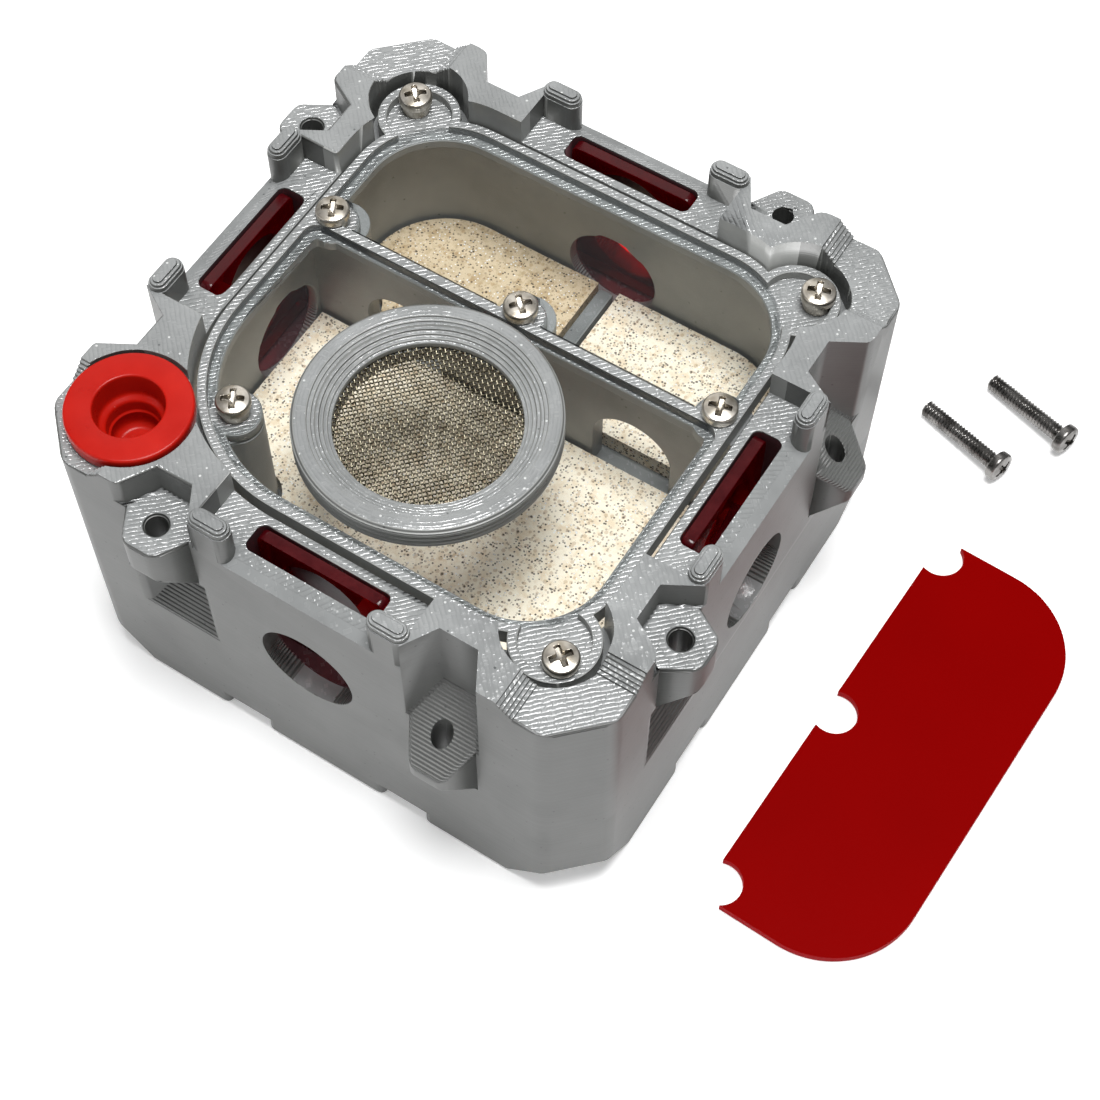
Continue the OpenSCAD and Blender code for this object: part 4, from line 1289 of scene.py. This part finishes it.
@dataclass
class Vent:
    """Round vent: stepped printed ring, woven wire disc and the ring that holds it."""

    steps: int = 6
    """Steps of the funnel."""
    rim: float = 1.5
    """Width of the flat rim on top in mm."""
    mesh_open: float = 8.7
    """Radius of the open mesh in mm."""
    spigot: float = 1.7
    """Height in mm of the spigot that stands in the panel's hole."""
    hole: float = 10.9
    """Radius of the panel's hole in mm."""
    play: float = 0.3
    """Gap between spigot and hole in mm."""
    wall: float = 1.0
    """Thickness of the spigot in mm."""
    layers: int = 9
    """Layer grooves on the outside."""
    layer: float = 0.3
    """Height of the coarse layers in mm."""
    groove: float = 0.035
    """Depth of a layer groove in mm."""
    pitch: float = 0.42
    """Distance between wires in mm."""
    wire: float = 0.085
    """Radius of a wire in mm."""
    turn: float = 46.5
    """Turn of the weave about the upright axis in degrees."""
    margin: float = 0.15
    """Width in mm that the weave leaves free inside the disc's edge."""
    low: Vector = field(init=False)
    high: Vector = field(init=False)

    def __post_init__(self) -> None:
        """Reads the ring's place and height from the frame."""
        self.low, self.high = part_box("vent_ring")

    @property
    def centre(self) -> tuple[float, float]:
        """Middle of the ring in mm."""
        return tuple((self.low[i] + self.high[i]) / 2 / MM for i in (0, 1))

    @property
    def axis(self) -> tuple[float, float, float]:
        """Foot of the ring's upright axis in metres."""
        return (self.centre[0] * MM, self.centre[1] * MM, 0.0)

    def build(self) -> None:
        """Makes the ring, the weave and the holding ring."""
        skin = PrintedPlastic(name="printed_pla_rings", hatch=Hatch.RINGS, centre=self.centre).build()
        steel = PlatedSteel(name="woven_stainless_wire", base="#948E7A", rough=0.24, stain="#605A4A").build()
        finish_piece(self.ring(), skin, "vent", "printed", "vent_ring")
        finish_piece(self.weave(), steel, "vent", "woven_mesh", "vent_mesh")
        finish_piece(self.holder(), skin, "vent", "printed", "mesh_retainer")

    def ring(self) -> bpy.types.Object:
        """Turns the ring's profile: spigot, flange, top rim, then the stepped funnel down to the mesh.

        Returns:
            The ring.
        """
        outer = (self.high.x - self.low.x) / 2 / MM
        top, foot = self.high.z / MM, self.low.z / MM
        seat = foot + self.spigot
        spigot_out = self.hole - self.play
        spigot_in = spigot_out - self.wall
        path = [(spigot_in, foot, 0), (spigot_in, foot, 0.1), (spigot_out, foot, 0.15)]
        path += [(spigot_out, seat + 0.15, 0.05), (outer, seat + 0.15, 0.15)]
        for i in range(self.layers):
            z = seat + self.layer + (top - seat - 2.5 * self.layer) * i / self.layers
            path += [(outer, z, 0.02), (outer - self.groove, z + 0.4 * self.layer, 0.02)]
        path += [(outer - 0.02, top - 0.3, 0.1), (outer - 0.35, top, 0.3)]
        floor = seat + 4 * self.layer
        inner = outer - self.rim
        fall, run = (top - floor) / self.steps, (inner - self.mesh_open) / self.steps
        for i in range(self.steps):
            r, z = inner - run * i, top - fall * i
            path += [(r, z, 0.12), (r - 0.04, z - fall, 0.06)]
        path += [(self.mesh_open, floor, 0.1), (self.mesh_open, seat + 2 * self.layer, 0.05)]
        path += [(spigot_in, seat + 2 * self.layer, 0.0), (spigot_in, foot, 0)]
        return shape_object("vent_ring_print", lathe(rounded(path), self.axis, 160), 40)

    def holder(self) -> bpy.types.Object:
        """Turns the holding ring below the mesh, a plain band with soft corners.

        Returns:
            The holding ring.
        """
        low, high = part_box("mesh_retainer")
        inner, outer = self.mesh_open, (high.x - low.x) / 2 / MM
        foot, top = low.z / MM, high.z / MM
        path = [(inner, foot, 0), (outer, foot, 0.2), (outer, top, 0.1), (inner, top, 0.1), (inner, foot, 0)]
        return shape_object("mesh_holder_print", lathe(rounded(path), self.axis), 40)

    def weave(self) -> bpy.types.Object:
        """Weaves the disc.

        Wire k of either set lies at k times the pitch and rises as +-amplitude times
        cos(pi s / pitch + k pi), so it passes over and under its crossings; each tube point is the
        wire's line plus radius times (cos a, sin a) in the plane across it.

        Returns:
            The disc.
        """
        low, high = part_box("vent_mesh")
        radius = (high.x - low.x) / 2 / MM - self.margin
        middle = (low.z + high.z) / 2
        lift = self.wire * 0.8
        count = int(radius / self.pitch)
        per_wave, sides = 6, 5
        around = np.linspace(0, 2 * np.pi, sides, endpoint=False)
        turned = math.radians(self.turn)
        parts: list[Mesh] = []
        for across in (False, True):
            for k in range(-count, count + 1):
                offset = k * self.pitch
                half = math.sqrt(max(radius**2 - offset**2, 0.01))
                s = np.arange(-half, half + 1e-6, 2 * self.pitch / per_wave)
                wave = lift * np.cos(np.pi * s / self.pitch + (k + across) * np.pi)
                line_s = s[:, None] + 0 * around
                line_o = offset + self.wire * np.cos(around)[None, :] + 0 * s[:, None]
                line_z = wave[:, None] + self.wire * np.sin(around)[None, :]
                u, v = (line_o, line_s) if across else (line_s, line_o)
                x = self.centre[0] + u * math.cos(turned) - v * math.sin(turned)
                y = self.centre[1] + u * math.sin(turned) + v * math.cos(turned)
                points = np.stack([x * MM, y * MM, middle + line_z * MM], -1).reshape(-1, 3)
                parts.append((points, grid_faces(len(s), sides, True)))
        return shape_object("woven_wire_disc", join(parts), 80, 1e-9)


@dataclass
class FillerPlug:
    """Soft plug with a stepped cup and a ribbed stem."""

    flange: float = 1.75
    """Thickness of the flange in mm."""
    cup_r: float = 3.2
    cup_depth: float = 2.6
    core_r: float = 2.5
    core_depth: float = 6.4
    bead_depth: float = 4.4
    """Depth in mm of the bead inside the core."""
    rib_r: float = 4.34
    neck_r: float = 4.04
    ribs: int = 5
    rib_pitch: float = 1.45

    def build(self) -> None:
        """Turns the plug's profile and dresses it."""
        low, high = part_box("filler_plug")
        x, y = (low.x + high.x) / 2, (low.y + high.y) / 2
        wide, top, foot = (high.x - low.x) / 2 / MM, high.z / MM, low.z / MM
        under = top - self.flange
        cup, core, rib, neck = self.cup_r, self.core_r, self.rib_r, self.neck_r
        floor, bead, step = top - self.core_depth, top - self.bead_depth, top - self.cup_depth
        path = [(0, floor, 0), (core - 0.6, floor, 0.2), (core, floor + 0.5, 0.3)]
        path += [(core, bead - 0.2, 0.1), (core - 0.25, bead, 0.1), (core, bead + 0.2, 0.1)]
        path += [(core, step - 0.35, 0.25), (cup - 0.1, step, 0.2), (cup, step + 0.3, 0.2)]
        path += [(cup + 0.12, top, 0.22), (wide - 0.1, top, 0.25), (wide, top - 0.45, 0.3)]
        path += [(wide - 0.05, under, 0.3), (neck, under, 0.2)]
        for i in range(self.ribs):
            z = under - 1.0 - i * self.rib_pitch
            path += [(neck, z, 0.15), (rib, z - 0.35, 0.15), (rib - 0.05, z - 0.6, 0.1), (neck, z - 0.8, 0.1)]
        path += [(neck, foot + 0.5, 0.2), (neck - 0.45, foot, 0.3), (0, foot, 0)]
        piece = shape_object("silicone_plug", lathe(rounded(path), (x, y, 0.0), 144), 50)
        finish_piece(piece, Silicone().build(), "plug", "silicone", "filler_plug")


@dataclass(frozen=True)
class PanScrew:
    """Small pan-head screw with a cross recess."""

    head_r: float = 1.68
    head_h: float = 1.3
    top_r: float = 1.34
    """Radius of the nearly flat top inside the bevelled rim."""
    dome: float = 0.3
    collar_r: float = 1.35
    shank_r: float = 0.95
    recess_r: float = 1.12
    recess_w: float = 0.3
    """Half width of a recess arm in mm."""
    recess_d: float = 0.95
    recess_wall: float = 0.07
    """Width of a recess wall seen from above in mm."""
    flare_r: float = 0.52
    """Radius in mm of the recess's wider middle."""
    taper: float = 0.68
    """Share of its depth that the recess has lost at the ends of its arms."""
    pitch: float = 0.4
    thread_depth: float = 0.16
    tip_bevel: float = 0.3

    def head(self, turn: float) -> Mesh:
        """Makes the head with its recess, standing on z = 0.

        The top is z = head_h - dome (r / R)^2 - depth * dip(x, y), where dip goes from 1 to 0
        across the walls of a cross with a wider middle, and depth falls towards the arms' ends.

        Args:
            turn: Turn of the recess in radians.

        Returns:
            The head's top and side, closed below.
        """
        rings, steps = 64, 144
        angle = np.linspace(0, 2 * np.pi, steps, endpoint=False)
        r = np.linspace(0, self.top_r, rings)[:, None]
        x, y = r * np.cos(angle), r * np.sin(angle)
        xt, yt = x * math.cos(turn) + y * math.sin(turn), y * math.cos(turn) - x * math.sin(turn)
        arm = np.minimum(np.abs(xt), np.abs(yt))
        reach = np.maximum(np.abs(xt), np.abs(yt))
        middle = np.hypot(xt, yt)
        side = np.clip((self.recess_w - arm) / self.recess_wall, 0, 1)
        flare = np.clip((self.flare_r - middle) / self.recess_wall, 0, 1)
        end = np.clip((self.recess_r - reach) / (self.recess_wall * 1.5), 0, 1)
        dip = np.maximum(side, flare) * end
        dip = dip * dip * (3 - 2 * dip)
        floor = self.recess_d * (1 - self.taper * np.clip(middle / self.recess_r, 0, 1))
        z = self.head_h - self.dome * (r / self.head_r) ** 2 - floor * dip
        top = np.stack([x, y, z], -1).reshape(-1, 3)
        edge = rounded(
            [
                (self.top_r, self.head_h - self.dome * (self.top_r / self.head_r) ** 2, 0),
                (self.head_r - 0.1, self.head_h - 0.24, 0.12),
                (self.head_r, self.head_h - 0.45, 0.15),
                (self.head_r - 0.02, 0.12, 0.1),
                (self.head_r - 0.2, 0.0, 0.12),
                (0.0, 0.0, 0),
            ]
        )
        rim, rim_faces = lathe(edge, (0, 0, 0), steps)
        return join([(top * MM, grid_faces(rings, steps, True)), (rim, rim_faces)])

    def shank(self, length: float, threaded: bool) -> Mesh:
        """Makes the shank below z = 0.

        The thread is r = R - depth * |2 frac(z / pitch - t / 2 pi) - 1|^0.8 for a turn t.

        Args:
            length: Length in mm.
            threaded: True for a visible thread.

        Returns:
            The shank closed at its tip.
        """
        steps = 48
        rows = int(length / (self.pitch / 8)) if threaded else 12
        z = np.linspace(0, -length + 0.15, rows)[:, None]
        angle = np.linspace(0, 2 * np.pi, steps, endpoint=False)[None, :]
        r = np.full((rows, steps), self.shank_r)
        if threaded:
            phase = np.mod(z / self.pitch - angle / (2 * np.pi), 1)
            r = self.shank_r - self.thread_depth * np.abs(2 * phase - 1) ** 0.8
        points = np.stack([r * np.cos(angle), r * np.sin(angle), z + 0 * angle], -1)
        tip_r = self.shank_r - self.tip_bevel
        tip = np.stack([tip_r * np.cos(angle[0]), tip_r * np.sin(angle[0]), np.full(steps, -length)], -1)
        end = np.stack([0 * angle[0], 0 * angle[0], np.full(steps, -length)], -1)
        points = np.concatenate([points, tip[None], end[None]]).reshape(-1, 3)
        return points * MM, grid_faces(rows + 2, steps, True)

    def collar(self, height: float) -> Mesh:
        """Makes the neck below the head as a band of the height in mm, standing on z = 0."""
        r = self.collar_r
        path = [(0, 0, 0), (r, 0, 0.05), (r + 0.04, 0.2, 0.1), (r, height, 0.05), (0, height, 0)]
        return lathe(rounded(path), (0, 0, 0), 64)


@dataclass
class LidScrews:
    """The seven screws that hold the lid frame."""

    screw: PanScrew = PanScrew()
    collar_h: float = 1.1
    """Height in mm of the neck between the lid and the head."""

    def build(self) -> None:
        """Makes one piece for each group of screws."""
        metal = PlatedSteel().build()
        turns = {"corner_screws": (0.95, 0.35, 0.75), "divider_screws": (0.5, 0.8, 0.3)}
        turns["side_screw"] = (0.55,)
        for node, group_turns in turns.items():
            piece = shape_object(f"{node}_metal", self.group(node, group_turns), 32)
            finish_piece(piece, metal, "housing", "screw_metal", node)

    def group(self, node: str, turns: tuple[float, ...]) -> Mesh:
        """Places copies of the screw where the CAD node has its solids.

        Args:
            node: CAD node with the screws.
            turns: Turn of each recess in radians.

        Returns:
            The screws in one mesh.
        """
        low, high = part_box(node)
        r = self.screw.head_r * MM
        left, right, near, back = low.x + r, high.x - r, low.y + r, high.y - r
        places = {
            "corner_screws": ((right, near), (right, back), (left, back)),
            "divider_screws": ((left, near), ((low.x + high.x) / 2, near), (right, near)),
            "side_screw": ((left, near),),
        }
        head_foot = high.z - self.screw.head_h * MM
        seat = head_foot - self.collar_h * MM
        parts: list[Mesh] = []
        for (x, y), turn in zip(places[node], turns):
            for (points, faces), z in (
                (self.screw.head(turn), head_foot),
                (self.screw.collar(self.collar_h), seat),
                (self.screw.shank((seat - low.z) / MM, False), seat),
            ):
                parts.append((points + np.array([x, y, z]), faces))
        return join(parts)


@dataclass
class SpareScrews:
    """Two loose joining screws lying beside the housing."""

    screw: PanScrew = PanScrew(recess_w=0.26, recess_r=1.05, recess_d=0.85)
    length: float = 10.0
    turn: float = 162.8
    """Direction of the shanks on the floor in degrees."""
    heads: tuple[tuple[float, float], ...] = ((40.7, 36.2), (45.2, 43.1))
    """Places on the floor below the undersides of both heads in mm."""

    def build(self) -> None:
        """Makes both screws lying on their heads' rims and tips."""
        tilt = math.asin((self.screw.head_r - self.screw.shank_r) / self.length)
        axis = math.radians(self.turn)
        parts: list[Mesh] = []
        for number, (x, y) in enumerate(self.heads):
            for points, faces in (self.screw.head(0.5 + 0.25 * number), self.screw.shank(self.length, True)):
                lying = self.laid(points, tilt, axis)
                parts.append((lying + np.array([x, y, self.screw.head_r]) * MM, faces))
        metal = PlatedSteel(name="dark_nickel_thread", base="#8C8A88", rough=0.2, stain="#5A5856").build()
        piece = shape_object("spare_screws_metal", join(parts), 32)
        finish_piece(piece, metal, "spares", "thread_metal", "spare_screws")

    @staticmethod
    def laid(points: Array, tilt: float, axis: float) -> Array:
        """Turns a standing screw so that its shank points along the axis and a little down.

        The shank's direction -z goes to d = (cos a cos t, sin a cos t, -sin t), and the other
        two directions complete a right-handed frame with it.

        Args:
            points: Vertices of the standing screw.
            tilt: Fall of the shank in radians.
            axis: Direction of the shank on the floor in radians.

        Returns:
            The turned vertices.
        """
        d = np.array([math.cos(axis) * math.cos(tilt), math.sin(axis) * math.cos(tilt), -math.sin(tilt)])
        side = np.array([-math.sin(axis), math.cos(axis), 0.0])
        up = np.cross(side, -d)
        return points[:, :1] * up + points[:, 1:2] * side - points[:, 2:] * d


@dataclass
class SandPlates:
    """Moisture plates with a sand skin, in the front nest and both halves of the rear nest."""

    relief: float = 0.16
    """Unevenness of the sand in mm."""
    columns: int = 260
    rows: int = 170
    corner_r: float = 8.6
    """Radius of the nests' corners in mm."""
    filler_r: float = 14.9
    """Radius in mm of the front nest's corner at the filler port."""
    pillar: tuple[float, float] = (16.4, 2.9)
    """Front pillar's distance from both middle planes, and the radius of its notch, in mm."""
    back_near: float = 7.8
    """Near edge of the rear plates in mm."""
    back_pillars: tuple[float, float, float] = (21.4, 7.4, 3.3)
    """Outer pillars' place to the side and to the back, and the radius of a notch, in mm."""

    def build(self) -> None:
        """Makes the three plates."""
        pale = SandTop().build()
        damp = SandTop(name="damp_quartz_sand", pale="#DCC8A8", warm="#C0A884").build()
        plates = [("plate_front", pale, "sand"), ("plate_back_left", damp, "sand_damp")]
        plates.append(("plate_back_right", pale, "sand"))
        for seed, (node, look, slot) in enumerate(plates):
            piece = shape_object(f"{node}_sand", self.plate(node, seed), 50, 1e-8)
            finish_piece(piece, look, "housing", slot, node)

    def plate(self, node: str, seed: int) -> Mesh:
        """Makes one plate.

        Column u runs across the plate and v from its near to its far outline at that place:
        (x, y, z) = (x(u), near(x) + v (far(x) - near(x)), top - relief n(u, v)); skirt rows go
        straight down to the plate's foot.

        Args:
            node: CAD node with the plate's box.
            seed: Start of the random draw for the relief.

        Returns:
            The plate's top, skirts and foot.
        """
        low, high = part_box(node)
        x0, x1, y0, y1 = (v / MM for v in (low.x, high.x, low.y, high.y))
        ease = 0.5 - 0.5 * np.cos(np.linspace(0, np.pi, self.columns))
        x = x0 + (x1 - x0) * (0.15 * np.linspace(0, 1, self.columns) + 0.85 * ease)
        near, far = self.outline(node, x, y0, y1)
        v = np.linspace(0, 1, self.rows)[:, None]
        y = near + v * (far - near)
        shape = (self.rows, self.columns)
        noise = 0.45 * soft_noise(shape, 1.6, seed) + 0.55 * soft_noise(shape, 7.0, seed + 10)
        z = high.z / MM - self.relief * (0.5 + 0.5 * noise)
        foot = low.z / MM
        top = np.stack([x + 0 * y, y, z], -1)
        sheet = np.concatenate([self.dropped(top[0], foot)[None], top, self.dropped(top[-1], foot)[None]])
        rows = len(sheet)
        grid = (sheet.reshape(-1, 3) * MM, grid_faces(rows, self.columns, False))
        base_line = np.stack([sheet[0], sheet[-1]])
        base = (base_line.reshape(-1, 3) * MM, grid_faces(2, self.columns, False)[:, ::-1])
        ends = []
        for edge in (sheet[:, 0], sheet[:, -1]):
            band = np.stack([edge, self.dropped(edge, foot)]).reshape(-1, 3)
            ends.append((band * MM, grid_faces(2, rows, False)))
        return join([grid, base, *ends])

    @staticmethod
    def dropped(line: Array, foot: float) -> Array:
        """Copies a line of points straight down to the height of the foot."""
        return np.stack([line[:, 0], line[:, 1], np.full(len(line), foot)], -1)

    @staticmethod
    def arc(x: Array, at: float, r: float) -> Array:
        """Height of a circle over its middle line: sqrt(r^2 - (x - at)^2), and 0 beside it."""
        return np.sqrt(np.clip(r**2 - (x - at) ** 2, 0, None))

    def outline(self, node: str, x: Array, y0: float, y1: float) -> tuple[Array, Array]:
        """Near and far edge of a plate at each x, all in mm.

        Rounded corners are circle arcs y = c -+ sqrt(r^2 - (x - c)^2); the pillars of the screws
        bite round notches out of the near edges.

        Args:
            node: CAD node with the plate.
            x: Places across the plate.
            y0: Lowest y of the plate.
            y1: Highest y of the plate.

        Returns:
            The near and the far edge.
        """
        r = self.corner_r
        if node == "plate_front":
            bend, half = self.filler_r, x[-1]
            near = np.full_like(x, y0)
            left = x < -half + bend
            near[left] = (y0 + bend - self.arc(x, -half + bend, bend))[left]
            right = x > half - r
            near[right] = (y0 + r - self.arc(x, half - r, r))[right]
            at, notch = self.pillar
            post = np.abs(x + at) < notch
            near[post] = np.maximum(near, -at + self.arc(x, -at, notch))[post]
            return near, np.full_like(x, y1)
        outer = x[0] if node.endswith("left") else x[-1]
        sign = -1 if node.endswith("left") else 1
        far = np.full_like(x, y1)
        corner = sign * x > sign * outer - r
        far[corner] = (y1 - r + self.arc(x, outer - sign * r, r))[corner]
        near = np.full_like(x, self.back_near)
        side, back, notch = self.back_pillars
        for post in (0.0, sign * side):
            beside = np.abs(x - post) < notch
            near[beside] = np.maximum(near, back + self.arc(x, post, notch))[beside]
        return near, far


@dataclass
class Wicks:
    """Four felt wicks from the tank up to the plates."""

    radius: float = 2.4
    nest_half: float = 23.6
    """Half width of the nests in mm; the wicks stand at shares of it."""
    place_shares: tuple[tuple[float, float], ...] = (
        (-1 / 2, -1 / 3),
        (1 / 2, -1 / 2),
        (-1 / 2, 2 / 3),
        (1 / 2, 2 / 3),
    )

    def build(self) -> None:
        """Turns each wick with a slightly uneven side: r = R - 0.06 + 0.05 sin(9 h) at height h."""
        low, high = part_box("wicks")
        foot, top = low.z / MM, high.z / MM
        h = np.linspace(foot, top, 60)
        side = np.stack([self.radius - 0.06 + 0.05 * np.sin(9 * h), h], -1)
        profile = np.concatenate([[[0, foot]], side, [[0, top]]]) * MM
        half = self.nest_half * MM
        parts = [lathe(profile, (x * half, y * half, 0.0), 40) for x, y in self.place_shares]
        piece = shape_object("felt_wicks", join(parts), 50)
        finish_piece(piece, WickFelt().build(), "housing", "wick_felt", "wicks")


# Studio


@dataclass
class Studio:
    """Plain pale floor, soft lights and the camera at the photograph's angle."""

    azimuth: float = 33.603
    elevation: float = 59.683
    roll: float = -1.087
    distance: float = 208.057
    target: tuple[float, float, float] = (7.937, -7.602, 18.0)
    focal: float = 2171.945
    """Focal length in pixels of the 1100-pixel frame."""
    centre: tuple[float, float] = (512.261, 543.176)
    frame_px: float = 1100.0
    sensor: float = 36.0
    aim: tuple[float, float, float] = (0.0, 0.0, 0.02)
    """Point in metres that the lights look at."""
    world_glow: float = 0.26

    def build(self) -> None:
        """Makes the floor, the lights and the camera."""
        self.floor()
        self.lights()
        self.camera()

    def floor(self) -> None:
        """Lays a wide smooth floor under the object."""
        span = np.linspace(-1.2, 1.2, 9)
        x, y = np.meshgrid(span, span)
        points = np.stack([x.ravel(), y.ravel(), np.full(x.size, -0.05 * MM)], -1)
        piece = shape_object("studio_floor", (points, grid_faces(len(span), len(span), False)))
        piece.data.materials.append(StudioPaper().build())

    def lights(self) -> None:
        """Sets a soft key nearly overhead, a wide weak panel behind, a faint fill and a dim world."""
        for name, place, size, power, tint in (
            ("key_panel", (0.045, 0.0, 0.50), 0.20, 2.9, (1.0, 1.0, 1.0)),
            ("back_panel", (-0.38, 0.50, 0.55), 0.50, 0.75, (1.0, 0.985, 0.96)),
            ("fill_panel", (-0.30, -0.42, 0.25), 0.30, 0.35, (0.96, 0.98, 1.0)),
        ):
            lamp = bpy.data.lights.new(name, "AREA")
            lamp.shape, lamp.size, lamp.energy, lamp.color = "SQUARE", size, power, tint
            holder = bpy.data.objects.new(name, lamp)
            holder.location = place
            way = Vector(self.aim) - Vector(place)
            holder.rotation_euler = way.to_track_quat("-Z", "Y").to_euler()
            bpy.context.scene.collection.objects.link(holder)
        world = bpy.data.worlds.new("pale_studio")
        world.use_nodes = True
        glow = world.node_tree.nodes["Background"].inputs
        glow["Color"].default_value = linear("#FFFFFF")
        glow["Strength"].default_value = self.world_glow
        bpy.context.scene.world = world
        bpy.context.scene.view_settings.view_transform = "Standard"

    def camera(self) -> None:
        """Places the camera by its angles, distance and measured principal point."""
        az, el = math.radians(self.azimuth), math.radians(self.elevation)
        back = Vector((math.sin(az) * math.cos(el), -math.cos(az) * math.cos(el), math.sin(el)))
        right = Vector((math.cos(az), math.sin(az), 0.0))
        up = back.cross(right)
        roll = math.radians(self.roll)
        right, up = right * math.cos(roll) + up * math.sin(roll), up * math.cos(roll) - right * math.sin(roll)
        data = bpy.data.cameras.new("studio_camera")
        data.sensor_width = self.sensor
        data.lens = self.focal / self.frame_px * self.sensor
        data.shift_x = (self.frame_px / 2 - self.centre[0]) / self.frame_px
        data.shift_y = (self.centre[1] - self.frame_px / 2) / self.frame_px
        data.clip_start, data.clip_end = 0.01, 10.0
        eye = bpy.data.objects.new("studio_camera", data)
        place = (Vector(self.target) + back * self.distance) * MM
        matrix = [[right[i], up[i], back[i], place[i]] for i in range(3)] + [[0.0, 0.0, 0.0, 1.0]]
        eye.matrix_world = Matrix(matrix)
        bpy.context.scene.collection.objects.link(eye)
        bpy.context.scene.camera = eye


def main() -> None:
    """Builds every sub-assembly in order."""
    logging.basicConfig(level=logging.INFO, format="%(name)s %(message)s")
    assemblies = [Studio(), Housing(), Sheets(), Vent(), FillerPlug()]
    assemblies += [LidScrews(), SpareScrews(), SandPlates(), Wicks()]
    for assembly in assemblies:
        assembly.build()
    bpy.context.view_layer.update()


if __name__ == "__main__":
    main()
